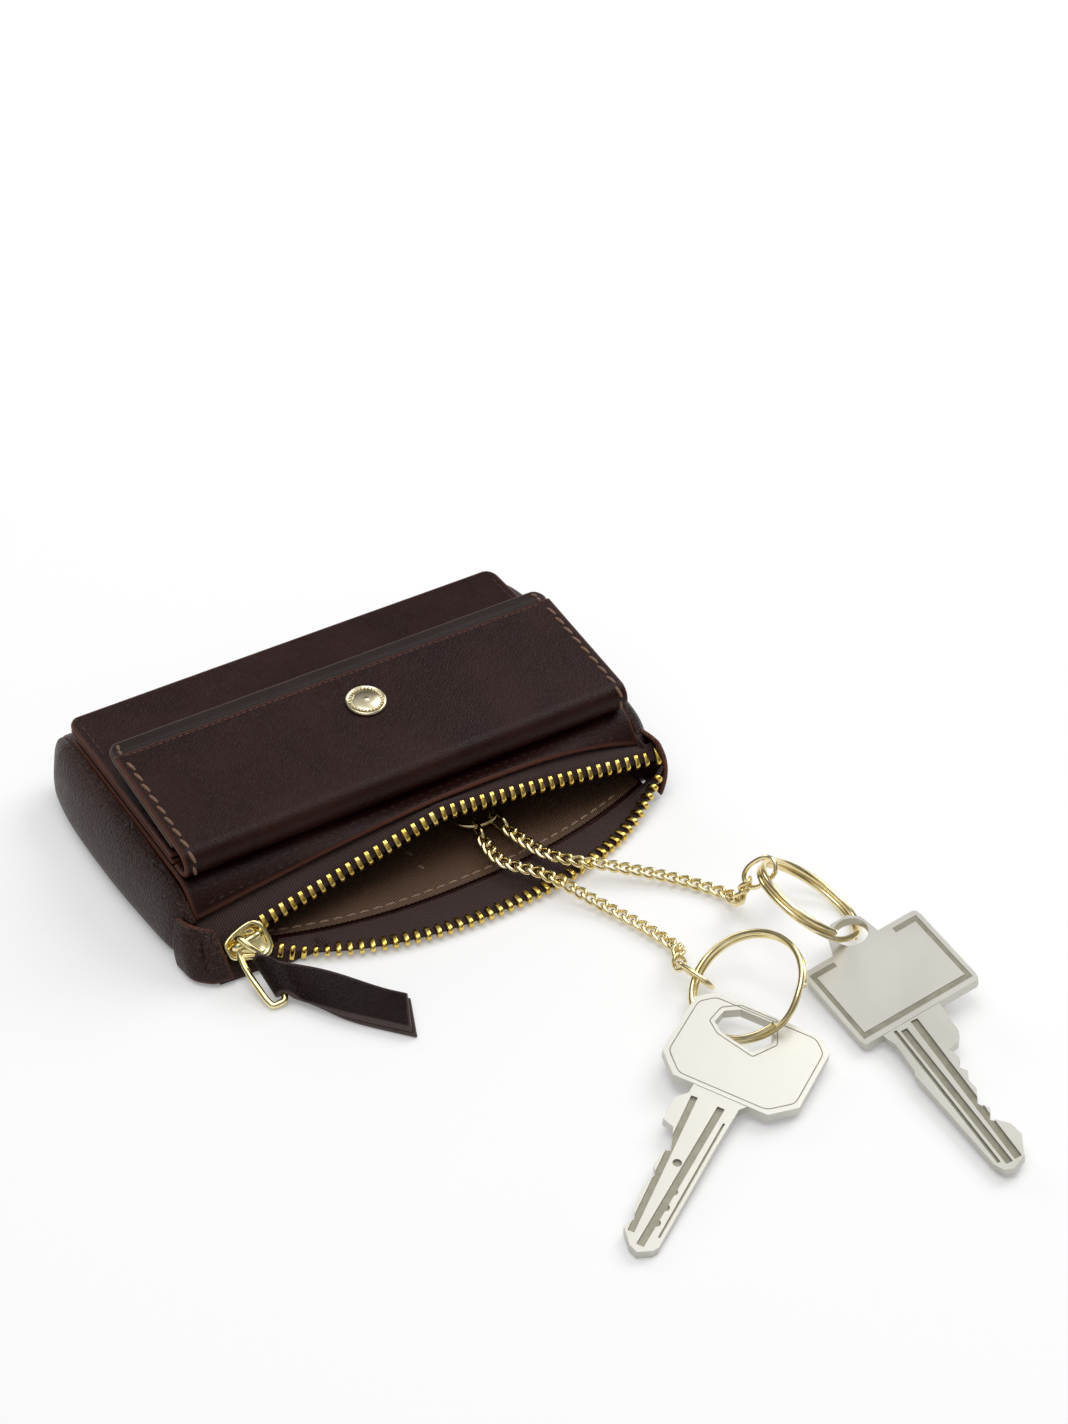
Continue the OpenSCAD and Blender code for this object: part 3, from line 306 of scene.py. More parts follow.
# Even grid lines over a length, with three close lines at each end for the rounded edge.
def edgeLines(total, count, round):
    near = round * (1 - np.cos(np.radians([0, 30, 60, 90])))
    inner = np.linspace(round, total - round, count)
    return np.concatenate([near[:-1], inner, (total - near[:-1])[::-1]])


# Width of a sheet's brighter rim
rimWide = 1.5


# Leather or cloth of even thickness: the middle surface is a function of two shares. Both faces are that
# surface moved along its normal by half the thickness, which falls to nothing at the edges as a quarter
# circle does, so every edge is round.
def sheetSolid(name, surface, wide, long, thick, count, *rest, round=None, shift=0.0, uvSwap=False):
    r = round or thick / 2
    u, v = edgeLines(wide, count[0], r), edgeLines(long, count[1], r)
    mid = surface(*np.meshgrid(u / wide, v / long, indexing="ij"))
    normal = normalsOf(mid)
    uu, vv = np.meshgrid(np.minimum(u, wide - u), np.minimum(v, long - v), indexing="ij")
    arc = lambda d: np.sqrt(np.maximum(0, 1 - (1 - np.minimum(d, r) / r) ** 2))
    half = (thick / 2 * arc(uu) * arc(vv))[..., None]
    mid = mid + shift * normal
    top, low = mid + half * normal, mid - half * normal
    nu, nv = len(u), len(v)
    number = np.arange(nu * nv).reshape(nu, nv)
    other = number + nu * nv
    for edge in (np.s_[0, :], np.s_[-1, :], np.s_[:, 0], np.s_[:, -1]):
        other[edge] = number[edge]
    faces = gridFaces(nu, nv)
    under = other.ravel()[faces][:, ::-1]
    flat = np.stack(np.meshgrid(u, v, indexing="ij"), -1).reshape(-1, 2)
    flat = flat[:, ::-1] if uvSwap else flat
    rim = np.clip(np.minimum(uu, vv) / rimWide, 0, 1).ravel()
    keep, points = np.unique(np.concatenate([faces, under]), return_inverse=True)
    allPoints = np.concatenate([top.reshape(-1, 3), low.reshape(-1, 3)])[keep]
    return putMesh(name, allPoints, points.reshape(-1, 4), *rest, uv=np.concatenate([flat, flat])[keep],
        rim=np.concatenate([rim, rim])[keep])


# Tube with an oval profile carried along a path, as points and faces; flat is the profile's height as a
# share of its width. The points may be turned by a frame and moved to a place.
def tube(path, radius, sides, closed, upward, flat=1.0, turn=None, place=0):
    path = np.asarray(path, float)
    ahead = unit(np.roll(path, -1, 0) - np.roll(path, 1, 0) if closed else np.gradient(path, axis=0))
    side = unit(np.cross(np.broadcast_to(upward, path.shape), ahead))
    over = np.cross(ahead, side)
    a = np.arange(sides) * 2 * np.pi / sides
    ring = np.cos(a)[None, :, None] * side[:, None] + flat * np.sin(a)[None, :, None] * over[:, None]
    rings = path[:, None] + radius * ring
    return tubeMesh(place + (rings if turn is None else rings @ turn), closed)


# Points and faces of rings; an open tube ends in two caps.
def tubeMesh(rings, closed=False):
    n, s = rings.shape[:2]
    faces = gridFaces(n, s, closed, True)[:, ::-1].tolist()
    if not closed:
        faces += [list(range(s)), list(range(n * s - 1, (n - 1) * s - 1, -1))]
    return rings.reshape(-1, 3), faces


# Closed oval in a plane: cosine and sine raised to two over the power, so it is slightly boxy.
def superOval(half, side, steps, power):
    a = np.arange(steps) * 2 * np.pi / steps
    c, s = np.cos(a), np.sin(a)
    return np.stack([half * np.sign(c) * abs(c) ** (2 / power), side * np.sign(s) * abs(s) ** (2 / power)], 1)


# shape of the case in millimetres, the same as the CAD's
case = {"panelW": 107, "back": 31, "mouth": 36, "high": 16.6, "leather": 1.3, "lining": 0.5, "bulge": 4.8,
        "lipLow": 10.3, "lipOut": 34, "lipBack": 1.5, "peakX": 6, "shoulderY": 28.5, "backLow": 7.5,
        "backOut": 1, "hemLeft": 1, "hemSag": 10.5, "lipMidX": 6, "lipHalf": 51.5, "lipPower": 2.3}
halfW = case["panelW"] / 2


# One at the lip's peak, falling to nothing at the ends, slower on the left.
def arch(x):
    left = x < case["peakX"]
    u = abs(x - case["peakX"]) / (halfW + np.where(left, case["peakX"], -case["peakX"]))
    return 1 - np.minimum(1, u) ** np.where(left, 1.3, 3.0)


def bow(x):
    return 1 - np.minimum(1, abs(x - case["lipMidX"]) / case["lipHalf"]) ** case["lipPower"]


def hem(x):
    return -case["mouth"] - case["hemLeft"] * (0.5 - x / case["panelW"]) - case["hemSag"] * bow(x)


# Even samples along polylines that share their point count, rounded by a repeated 1-2-1 average.
def smoothAlong(points, samples, passes):
    run = runOf(points.mean(1))
    out = readAt(np.linspace(0, run[-1], samples), run, points.reshape(len(points), -1))
    for _ in range(passes):
        out[1:-1] = 0.25 * out[:-2] + 0.5 * out[1:-1] + 0.25 * out[2:]
    return out.reshape((samples,) + points.shape[1:]), run[-1]


# One such line alone.
def smoothLine(points, samples, passes):
    return smoothAlong(np.array(points, float)[:, None], samples, passes)[0][:, 0]


# Section curves at places along the case, from corners of y and z.
def section(x, corners):
    return np.array([[y + 0 * x, z + 0 * x] for y, z in corners]).transpose(0, 2, 1)


# Upper panel's outer section: up the lip, over the top and down the back.
def frontCurve(x):
    a, high, back, low = arch(x), case["high"], case["back"], case["backLow"]
    rear = back + case["backOut"]
    lipY, lipZ = -case["lipOut"] + case["lipBack"] * a, case["lipLow"] + (high - case["lipLow"]) * a
    rows = [(lipY, lipZ), ((lipY - case["shoulderY"]) / 2 - 0.4 * (1 - a), (lipZ + high) / 2 + 0.6 * (1 - a)),
            (-case["shoulderY"], high), (0, high), (back - low, high), (back - low / 3, high + 0.15 * (low - high)),
            (back + 0.6, high + 0.45 * (low - high)), (rear, high + 0.75 * (low - high)), (rear, low)]
    return section(x, rows)


# Lower panel's outer section: along the table and up to the back seam.
def backCurve(x, start):
    back, low, rear = case["back"], case["backLow"], case["back"] + case["backOut"]
    return section(x, [(start, 0), (0, 0), (back - low * 0.7, 0), (back - low * 0.15, low * 0.13),
                       (rear, low * 0.55), (rear, low - 0.2)])


# Slow unevenness of soft leather: three crossing sine waves.
def ripple(x, y, size, seed):
    a, b = x / size, y / size
    return (np.sin(1.3 * a + 0.7 * b + seed) + np.sin(0.6 * a - 1.1 * b + 2.1 * seed)
            + 0.6 * np.sin(2.3 * a + 1.9 * b + 3.3 * seed)) / 2.6


# Surface over shares of the case's length and of a section curve, moved inwards by the depth.
def panelSurface(curve, inset, samples, passes, depth, wave):
    cuts = 120
    fine = np.linspace(-halfW + inset, halfW - inset, cuts + 1)
    grid, length = smoothAlong(curve(fine), samples, passes)

    def surface(u, v):
        x = (2 * u - 1) * (halfW - inset)
        fu, fv = u * cuts, v * (samples - 1)
        i, j = np.minimum(fu.astype(int), cuts - 1), np.minimum(fv.astype(int), samples - 2)
        a, b = (fu - i)[..., None], (fv - j)[..., None]
        rows = [grid[j + k, i] * (1 - a) + grid[j + k, i + 1] * a for k in (0, 1)]
        point = np.concatenate([x[..., None], rows[0] * (1 - b) + rows[1] * b], -1)
        swing = wave * ripple(x, 60 * v, 14, 1.7) * np.minimum(1, 6 * v) * np.minimum(1, 8 * (1 - v))
        return point + (depth + swing)[..., None] * normalsOf(point)
    return surface, length


upper, upperLength = panelSurface(frontCurve, 0, 240, 60, -case["leather"] / 2, 0.15)
lower, lowerLength = panelSurface(lambda x: backCurve(x, hem(x)), 0, 240, 20, case["leather"] / 2, 0.0)
for name, surface, long, nodeName in (("upperPanel", upper, upperLength, "front_wall"),
                                      ("lowerPanel", lower, lowerLength, "back_wall")):
    sheetSolid(name, surface, case["panelW"], long, case["leather"], (150, 110), leather, "case", "leather",
        nodeName, uvSwap=True)
print("panels made")

# linings, just inside the panels; the seams further down lie on the back one
liningSet = {"inset": 1.2, "hem": 2.6, "gap": 0.15, "count": (130, 60)}
nearPanel = case["leather"] + liningSet["gap"] + case["lining"] / 2
for name, curve, depth, wave in (
        ("front", lambda x: frontCurve(x)[2:8], -nearPanel, 0.2),
        ("back", lambda x: backCurve(x, hem(x) + liningSet["hem"])[:5], nearPanel, 0.12)):
    inside, insideLength = panelSurface(curve, liningSet["inset"], 160, 14, depth, wave)
    sheetSolid(name + "Lining", inside, case["panelW"] - 2 * liningSet["inset"], insideLength, case["lining"],
        liningSet["count"], liningCloth, "case", "lining", name + "_lining")
print("linings made")

# gussets: bulging ends; rows give place, low and high share of the height, and bulge share
gussetSet = {"inset": 1.5, "bulge": 6.8, "count": (60, 90), "gap": 0.1,
             "rows": [(0, 0, 0.64, 0.4), (0.09, 0, 0.93, 0.78), (0.4, 0, 1, 1), (0.78, 0, 1, 1),
                      (0.92, 0, 0.97, 0.8), (1, 0.1, 0.84, 0.42)],
             "arc": [(0, 0), (0.4, 0), (0.88, 0.05), (1, 0.2), (0.95, 0.5), (0.78, 0.8), (0.45, 1), (0, 1)]}


def gussetSurface(side):
    g = gussetSet
    arc, table = smoothLine(g["arc"], 60, 24), smoothLine(g["rows"], 90, 30)

    def surface(u, v):
        read = np.moveaxis(readAt(v, np.linspace(0, 1, 90), table), -1, 0)
        out, up = np.moveaxis(readAt(u, np.linspace(0, 1, 60), arc), -1, 0)
        y = -case["mouth"] + g["inset"] + (case["back"] - g["inset"] + case["mouth"] - g["inset"]) * read[0]
        fold = 0.25 * ripple(60 * v, 20 * u, 7, 0.9 if side > 0 else 2.2)
        x = side * (halfW + g["gap"] + (read[3] * g["bulge"] + fold * read[3]) * out)
        z = (read[1] + (read[2] - read[1]) * up) * case["high"]
        return np.stack([x, y, z], -1)
    return surface


for name, side in (("Left", -1), ("Right", 1)):
    sheetSolid("gusset" + name, gussetSurface(side), 26, 64, case["leather"], gussetSet["count"], gussetLeather,
        "case", "leather", "gusset_" + name.lower(), shift=side * case["leather"] / 2)
print("gussets made")


# stitches: slim pills of thread, half sunk, along a line on a surface
# Line on a sheet's outer face with its normals. One share is a number, the other goes from start to stop in
# a count of places; the number gets a close neighbour on each side for the normals.
def seamOn(surface, us, vs, lift):
    near = np.array([-0.004, 0, 0.004])
    lines = (np.linspace(*n) if isinstance(n, tuple) else n + near for n in (us, vs))
    mid = surface(*np.meshgrid(*lines, indexing="ij"))
    take = np.s_[1, :] if isinstance(vs, tuple) else np.s_[:, 1]
    return np.concatenate([mid + lift * normalsOf(mid), normalsOf(mid)], -1)[take]


# Each stitch is an ellipsoid: long along the line, its middle lifted and its ends dipping in.
def stitchRow(name, line, look, material, body, slotName="tape"):
    sums = runOf(line[:, :3])
    at = np.arange(look["pitch"] / 2, sums[-1] - look["pitch"] / 2 + 1e-6, look["pitch"])
    point, normal = np.split(readAt(at, sums, line), 2, axis=-1)
    ahead = unit(readAt(at + 0.3, sums, line[:, :3]) - readAt(at - 0.3, sums, line[:, :3]))
    normal = unit(normal)
    normal = unit(normal - (normal * ahead).sum(1, keepdims=True) * ahead)
    side = np.cross(normal, ahead)
    skew = math.radians(look.get("skew", 0))
    ahead, side = (ahead * math.cos(skew) + side * math.sin(skew), side * math.cos(skew) - ahead * math.sin(skew))
    a, b = np.linspace(0, np.pi, 9)[1:-1], np.arange(8) * np.pi / 4
    long = np.cos(a)[:, None] * np.ones(8)
    out, over = (np.sin(a)[:, None] ** 0.6 * f(b) for f in (np.cos, np.sin))
    length, r = look["length"] / 2, look["thread"] / 2
    rings = point[:, None, None]
    for share, way in ((long * length, ahead), (out * r, side),
                       (over * r + look.get("lift", 0) - 0.5 * r * long ** 2, normal)):
        rings = rings + share[None, ..., None] * way[:, None, None]
    return putParts(name, [tubeMesh(ring) for ring in rings], material, body, slotName)


# leaf on the pouch and the flap over it
leaf = {"width": 106, "thick": 1.2, "back": 28, "foldR": 3.5, "foldY": -26.5, "flapLen": 34.1, "rise": 6.4,
        "corner": 3, "gap": 0.1, "lift": 0.4, "leafGap": 0.35, "innerShow": 4.2, "innerFrom": 3,
        "innerStep": 0.55, "stepRun": 1.2, "stepAfter": 0.2, "soft": 0.18, "softRun": 12}
foldZ = case["high"] + leaf["lift"] + leaf["foldR"]
foldIn = leaf["foldR"] - leaf["thick"]
leafBaseZ = case["high"] + leaf["leafGap"]
pocketZ = leafBaseZ + leaf["thick"] + leaf["gap"]


# Half width at y of a leaf with round corners at its rear edge.
def cornerWidth(y, back):
    near = np.clip((y - (back - leaf["corner"])) / leaf["corner"], 0, 1)
    return leaf["width"] / 2 - leaf["corner"] * (1 - np.sqrt(np.maximum(0, 1 - near ** 2)))


def flatLeaf(front, z, seed):
    def surface(u, v):
        y = front + (leaf["back"] - front) * v
        x = (2 * u - 1) * cornerWidth(y, leaf["back"])
        return np.stack([x, y, z + leaf["thick"] / 2 + 0.05 * ripple(x, y, 17, seed)], -1)
    return surface


pocket = flatLeaf(leaf["foldY"] + leaf["foldR"] + leaf["leafGap"], pocketZ, 0.9)
for name, surface, long, nodeName in (
        ("leafBase", flatLeaf(leaf["foldY"] + 0.9 * leaf["foldR"], leafBaseZ, 0.4), 51, "leaf_base"),
        ("leafPocket", pocket, 50, "leaf_pocket")):
    sheetSolid(name, surface, leaf["width"], long, leaf["thick"], (110, 60), leather, "case", "leather", nodeName)
rise = math.radians(leaf["rise"])


# Point of the flap's own frame: run along the flap from the fold's axis, over across it.
def fromFlap(x, run, over):
    return np.stack([x, leaf["foldY"] + run * math.cos(rise) - over * math.sin(rise),
                     foldZ + run * math.sin(rise) + over * math.cos(rise)], -1)


outerReach = leaf["flapLen"] - leaf["innerShow"]
rollR = leaf["foldR"] - leaf["thick"] / 2
tuck = 2.0
outerLength = tuck + math.pi * rollR + outerReach


# The flap's outer leather: a short tuck under the fold, half a turn round it, then the flap.
def outerSurface(u, v):
    s = v * outerLength
    angle = np.clip((s - tuck) / rollR, 0, math.pi)
    flatRun = np.where(angle < math.pi, -rollR * np.sin(angle), s - tuck - math.pi * rollR)
    run = np.where(s < tuck, tuck - s, flatRun)
    x = (2 * u - 1) * leaf["width"] / 2
    soft = leaf["soft"] * ripple(x, run, 16, 0.3) * easeIn(run / leaf["softRun"])
    return fromFlap(x, run, soft - rollR * np.cos(angle))


def innerSurface(u, v):
    run = leaf["innerFrom"] + (leaf["flapLen"] - leaf["innerFrom"]) * v
    x = (2 * u - 1) * cornerWidth(run, leaf["flapLen"])
    step = leaf["innerStep"] * easeIn((run - outerReach - leaf["stepAfter"]) / leaf["stepRun"])
    return fromFlap(x, run, foldIn - leaf["gap"] - leaf["thick"] / 2 + step)


# Pieces round the fold: their place is baked into the mesh, and they ride on no body.
def blendFold(piece):
    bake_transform(piece)


blendFold(sheetSolid("flapOuter", outerSurface, leaf["width"], outerLength, leaf["thick"], (120, 100), leather,
    None, "leather", "flap_outer"))
sheetSolid("flapInner", innerSurface, leaf["width"], leaf["flapLen"] - leaf["innerFrom"], leaf["thick"], (120, 60),
    smoothLeather, "flap", "leather_edge", "flap_inner")
print("flap made")

# Looks of stitches in millimetres; skew in degrees
sideStitch = {"pitch": 3.5, "length": 3.0, "thread": 0.8, "lift": 0.02, "skew": 12}
fineStitch = {"pitch": 2.3, "length": 1.8, "thread": 0.4}
edgeStitch = {"pitch": 1.5, "length": 1.15, "thread": 0.26}
# Seams of the flap and the leaf: millimetres from the edges, and runs of shares with their counts
seams = {"in": 2.0, "edge": 1.1, "rollShare": 0.3, "stop": 0.8, "band": (0.875, 0.985, 30),
         "leaf": (0.7, 0.96, 40), "across": (0.02, 0.98, 200)}
flapAt = leaf["thick"] / 2
for name, side in (("Left", -1), ("Right", 1)):
    share = 0.5 + side * (0.5 - seams["in"] / leaf["width"])
    along = ((tuck + seams["rollShare"] * math.pi * rollR) / outerLength, 1 - seams["stop"] / outerLength, 160)
    blendFold(stitchRow("flapStitches" + name, seamOn(outerSurface, share, along, flapAt), sideStitch, brownThread,
        None))
    stitchRow("bandStitches" + name, seamOn(innerSurface, share, seams["band"], flapAt),
        dict(sideStitch, pitch=1.7, length=1.5), brownThread, "flap")
    stitchRow("leafStitches" + name, seamOn(pocket, share, seams["leaf"], flapAt), fineStitch, darkThread, "case")
stitchRow("flapEdgeStitches", seamOn(outerSurface, seams["across"], 1 - seams["edge"] / outerLength, flapAt),
    edgeStitch, redThread, "flap")
print("stitches made")

# zip: both tapes carry the tooth rows. A rise is height, start, length and power at an end of the lower row;
# stop is the top stop's reach along the row and its scale.
zipSet = {"start": (-46, -38.6, 5.8), "mid": (3, -35.07, 13.35), "end": (56.5, -38, 8), "bend": 1.1,
          "lean": (0, 0.72, 0.69), "gap": 2, "lowerOut": 2.5, "lowerZ": 1.7, "lipSag": 16.8, "tape": 0.6,
          "sliderLen": 9, "pitch": 2.35, "toothW": 1.1, "upperReach": 2.8, "reach": 4.2, "hemGap": 0.2,
          "riseLeft": (3.8, -26, -20, 2.2), "riseRight": (6.3, 40, 16.5, 1.5), "left": 53.6, "right": 56.2,
          "heldTurn": 223.8, "upperFrom": 1.15, "lowerFrom": 2.3, "teethEnd": 54.2, "stop": (55.6, 55.9, 1.3),
          "reachMin": 1.7, "sewnRun": 4, "raisedRun": 2, "freeStep": 0.6, "hemStep": 1.2}
zipStart, zipMid, zipEnd, zipLean = (np.array(zipSet[k], float) for k in ("start", "mid", "end", "lean"))
rowDir = unit(zipMid - zipStart)
zipUp = unit(zipLean - (zipLean @ rowDir) * rowDir)
zipOut = np.cross(rowDir, zipUp)
exitX = zipStart[0] + zipSet["sliderLen"] / 2
turnFrom, turnTo = exitX + 1.2, -29


def straightRow(x):
    return zipStart + rowDir * ((x - zipStart[0]) / rowDir[0])[..., None]


# Upper row: straight to the middle, then bending towards its end as a power of the way.
def upperRow(x):
    t = np.maximum(0, (x - zipMid[0]) / (zipEnd[0] - zipMid[0]))[..., None]
    return straightRow(x) + (zipEnd - straightRow(zipEnd[:1])) * t ** zipSet["bend"]


# Lower row: in the closed zip up to the slider, then along the hanging lip, rising at both ends.
def lowerRow(x):
    openX = np.maximum(x, exitX)
    openZ = zipSet["lowerZ"] + sum(high * np.maximum(0, (openX - start) / long) ** power
                                   for high, start, long, power in (zipSet["riseLeft"], zipSet["riseRight"]))
    openRow = np.stack([openX, -case["mouth"] - zipSet["lowerOut"] - zipSet["lipSag"] * bow(openX), openZ], -1)
    t = np.clip((x - zipStart[0]) / (exitX - zipStart[0]), 0, 1)[..., None]
    closed = straightRow(x) - zipSet["gap"] * zipUp
    return np.where((x >= exitX)[..., None], openRow, closed * (1 - t) + openRow * t)


# Where the lower tape is sewn inside the hem.
def hemPoint(x):
    return np.stack([hem(x), np.full_like(x, case["leather"] + zipSet["hemGap"] + zipSet["tape"] / 2)], -1)


# The lower tape's direction from its row, in degrees: on from the slider's it turns towards the hem.
def tapeTurn(x):
    d = hemPoint(x) - lowerRow(x)[..., 1:]
    aim = 360 + np.degrees(np.arctan2(d[..., 1], d[..., 0]))
    t = easeIn((x - turnFrom) / (turnTo - turnFrom))
    return zipSet["heldTurn"] * (1 - t) + aim * t


# Tape's surface from polylines that share their corners' places, at places x along the case.
def alongTape(x, lines, v):
    run = runOf(lines.mean(1))
    place = run / run[-1]
    i = np.clip(np.searchsorted(place, v, "right") - 1, 0, len(place) - 2)
    f = ((v - place[i]) / (place[i + 1] - place[i]))[:, None, None]
    yz = (lines[i] * (1 - f) + lines[i + 1] * f).transpose(1, 0, 2)
    return np.concatenate([np.broadcast_to(x[:, None, None], yz.shape[:2] + (1,)), yz], -1)


leanYz = unit(zipLean[1:])
tapeLong = zipSet["left"] + zipSet["right"]


# Upper tape: from the row to the lip, then up inside the panel; past the panel's ends it hangs free.
def upperTape(u, v):
    x = u[:, 0] * tapeLong - zipSet["left"]
    t = upperRow(x)[:, 1:]
    curve, thick = frontCurve(x), zipSet["tape"]
    side = unit(np.stack([-(curve[1] - curve[0])[:, 1], (curve[1] - curve[0])[:, 0]], -1))
    near = case["leather"] + zipSet["hemGap"] + thick / 2
    q = t + zipSet["upperReach"] * leanYz
    deep = (abs(x) < halfW).astype(float)[:, None]
    a = (curve[0] - side * (near + thick / 2)) * deep + (q + thick * leanYz) * (1 - deep)
    b = (curve[1] - side * near) * deep + (q + 2 * thick * leanYz) * (1 - deep)
    return alongTape(x, np.array([t, q, a, b]), v[0])


# Lower tape: from the row to the hem, and flat inside it.
def lowerTape(u, v):
    x = u[:, 0] * tapeLong - zipSet["left"]
    t, f = lowerRow(x)[:, 1:], np.radians(tapeTurn(x))
    sewn, raised = (easeIn((x - exitX) / zipSet[k])[:, None] for k in ("sewnRun", "raisedRun"))
    fall = (t[:, 1] - 0.5) / np.maximum(0.05, -np.sin(f))
    reach = np.minimum(zipSet["reach"], fall - zipSet["hemStep"] * (1 - sewn[:, 0]))
    reach = np.maximum(zipSet["reachMin"], reach)[:, None]
    aim = np.stack([np.cos(f), np.sin(f)], -1)
    step, weight = zipSet["freeStep"] * aim, np.concatenate([sewn, raised], 1)
    a, h = t + reach * aim + step, hemPoint(x)
    b, hemIn = a + step, h + [zipSet["hemStep"], 0]
    return alongTape(x, np.array([t, t + reach * aim, a * (1 - weight) + h * weight,
                                  b * (1 - weight) + hemIn * weight]), v[0])


for name, surface, long in (("Upper", upperTape, 6), ("Lower", lowerTape, 7)):
    sheetSolid("zipTape" + name, surface, tapeLong, long, zipSet["tape"], (260, 16), tapeCloth, "case", "tape",
        "zipper_tape_" + name.lower())
print("tapes made")


# Tooth: an oval bar carried round the tape's edge from leg to leg, thick at the head, thin at the legs.
def toothRings():
    way = np.array([(1.95, 0.66), (1.85, 0.72), (1.1, 0.78), (0.3, 0.78), (-0.2, 0.7), (-0.5, 0.4), (-0.58, 0)])
    thick = np.array([0.12, 0.2, 0.25, 0.27, 0.34, 0.46, 0.5])
    way = np.concatenate([way, (way * [1, -1])[-2::-1]])
    thick = np.concatenate([thick, thick[-2::-1]])
    ahead = unit(np.gradient(way, axis=0))
    side = np.stack([-ahead[:, 1], ahead[:, 0]], -1)
    p = superOval(1, 1, 10, 3.2)
    wide = zipSet["toothW"] / 2 * np.minimum(1, 0.75 + thick)[:, None]
    flat = way[:, None] + (thick[:, None] * p[None, :, 0])[..., None] * side[:, None]
    return np.concatenate([flat, (wide * p[None, :, 1])[..., None]], -1)


# Teeth stand at even lengths along a row, turned into the tape and square to the row.
def rowTeeth(name, nodeName, row, inward, first, last, scale=1.0):
    x = np.linspace(first, last, 900)
    sums = runOf(row(x))
    xs = np.interp(np.arange(0, sums[-1], zipSet["pitch"]), sums, x)
    at, along = row(xs), unit(row(xs + 0.25) - row(xs - 0.25))
    into = inward(xs)
    ex = unit(into - (into * along).sum(1, keepdims=True) * along)
    turn = np.stack([ex, np.cross(along, ex), along], -2)
    shape = scale * np.einsum("rsk,nkc->nrsc", toothRings(), turn) + at[:, None, None]
    putParts(name, [tubeMesh(r) for r in shape], zipBrass, "case", "zip_brass", nodeName)


def leanInto(x):
    return np.broadcast_to(zipLean, (len(x), 3))


def turnInto(x):
    f = np.radians(tapeTurn(x))
    return np.stack([0 * x, np.cos(f), np.sin(f)], -1)


rowTeeth("zipTeethUpper", "zipper_teeth_upper", upperRow, leanInto, exitX + zipSet["upperFrom"], zipSet["teethEnd"])
rowTeeth("zipTeethLower", "zipper_teeth_lower", lowerRow, turnInto, exitX + zipSet["lowerFrom"], zipSet["teethEnd"])
rowTeeth("zipTopStops", "top_stops", upperRow, leanInto, *zipSet["stop"])
print("teeth made")


# A key from its CAD node: doubles merged, flat faces joined, edges rounded by a bevel. Faces that look up
# from below the bow's top, or from below the blade's, are the milled floors. They take a darker nickel,
# which is painted shade in the grooves.
keySet = {"round": 0.14, "bowFloor": 0.7, "bowEnd": 22.4, "bladeTop": 1.05, "level": 0.9}


def putKey(name, nodeName, spin, mid):
    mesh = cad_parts[nodeName].data.copy()
    mesh.name = name
    work = bmesh.new()
    work.from_mesh(mesh)
    bmesh.ops.remove_doubles(work, verts=work.verts, dist=1e-6)
    bmesh.ops.dissolve_limit(work, angle_limit=math.radians(1), verts=work.verts, edges=work.edges)
    work.to_mesh(mesh)
    work.free()
    mesh.materials.clear()
    for material in (keyNickel, grooveShadeNickel):
        mesh.materials.append(material)
    for p in mesh.polygons:
        x, y, z = (spin.transposed() @ (p.center - mid * mm)) / mm
        level = (spin.transposed() @ p.normal).z > keySet["level"]
        low = z < keySet["bowFloor"] or (x < keySet["bowEnd"] and z < keySet["bladeTop"])
        p.material_index = int(level and low)
    piece = putPiece(name, mesh, nodeName, nodeName)
    bevel = piece.modifiers.new("edges", "BEVEL")
    bevel.width, bevel.segments = keySet["round"] * mm, 3
    bevel.limit_method, bevel.angle_limit = "ANGLE", math.radians(35)
    piece.modifiers.new("flats", "WEIGHTED_NORMAL").weight = 100


# A key's own frame: turned about x, y and z in that order; engraved lines follow its outlines.
keys = {"One": {"node": "key_1", "mid": (32.94, -111.85, 4.59), "turn": (-5.13, 2.96, -148.3)},
        "Two": {"node": "key_2", "mid": (60.75, -104.73, 5), "turn": (12.29, 1.1, -92.6)}}
for name, k in keys.items():
    x, y, z = (Matrix.Rotation(math.radians(t), 3, axis) for t, axis in zip(k["turn"], "XYZ"))
    k["spin"] = z @ y @ x
    putKey("key" + name, k["node"], k["spin"], Vector(k["mid"]))
for nodeName, material in (("bottom_stop", zipBrass), ("snap_stud", snapBrass), ("snap_socket", snapBrass),
                           ("snap_post", snapBrass)):
    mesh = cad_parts[nodeName].data
    mesh.materials.clear()
    mesh.materials.append(material)
print("metal made")


# Closed path rounded by a repeated 1-2-1 average after it is cut into even steps.
def roundLoop(path, samples, passes):
    path = np.array(path, float)
    path = np.concatenate([path, path[:1]])
    sums = runOf(path)
    out = readAt(np.linspace(0, sums[-1], samples, endpoint=False), sums, path)
    for _ in range(passes):
        out = 0.25 * np.roll(out, 1, 0) + 0.5 * out + 0.25 * np.roll(out, -1, 0)
    return out


# Flat points put at a height.
def atHeight(flat, z):
    return np.concatenate([flat, np.full((len(flat), 1), z)], 1)


# Engraved lines of key one: round its bow, drawn in, and round its slot, drawn out. They are thin tubes in the
# darker nickel, painted shade that stands in for the cut lines.
engraved = {"depth": 1.05, "wire": 0.13, "lines": (
    (-1.05, [(2.99, -14.5), (18.4, -14.5), (23, -10.15), (23, 9.86), (18.4, 14.5), (2.99, 14.5), (0, 11.6),
             (0, -11.6)]),
    (1.0, [(6.9, -8.56), (3.45, -7.98), (1.5, -5.22), (1.5, 1.6), (6.21, 3.7), (10.35, 1.02), (8.74, -6.24)]))}
parts, spin = [], keys["One"]["spin"]
for grow, outline in engraved["lines"]:
    outline = np.array(outline)
    mid, wide = (outline.max(0) + outline.min(0)) / 2, outline.max(0) - outline.min(0)
    flat = roundLoop(mid + (outline - mid) * (1 + 2 * grow / wide), 160, 3)
    path = atHeight(flat, engraved["depth"]) @ np.array(spin).T + keys["One"]["mid"]
    parts.append(tube(path, engraved["wire"], 8, True, spin @ Vector((0, 0, 1))))
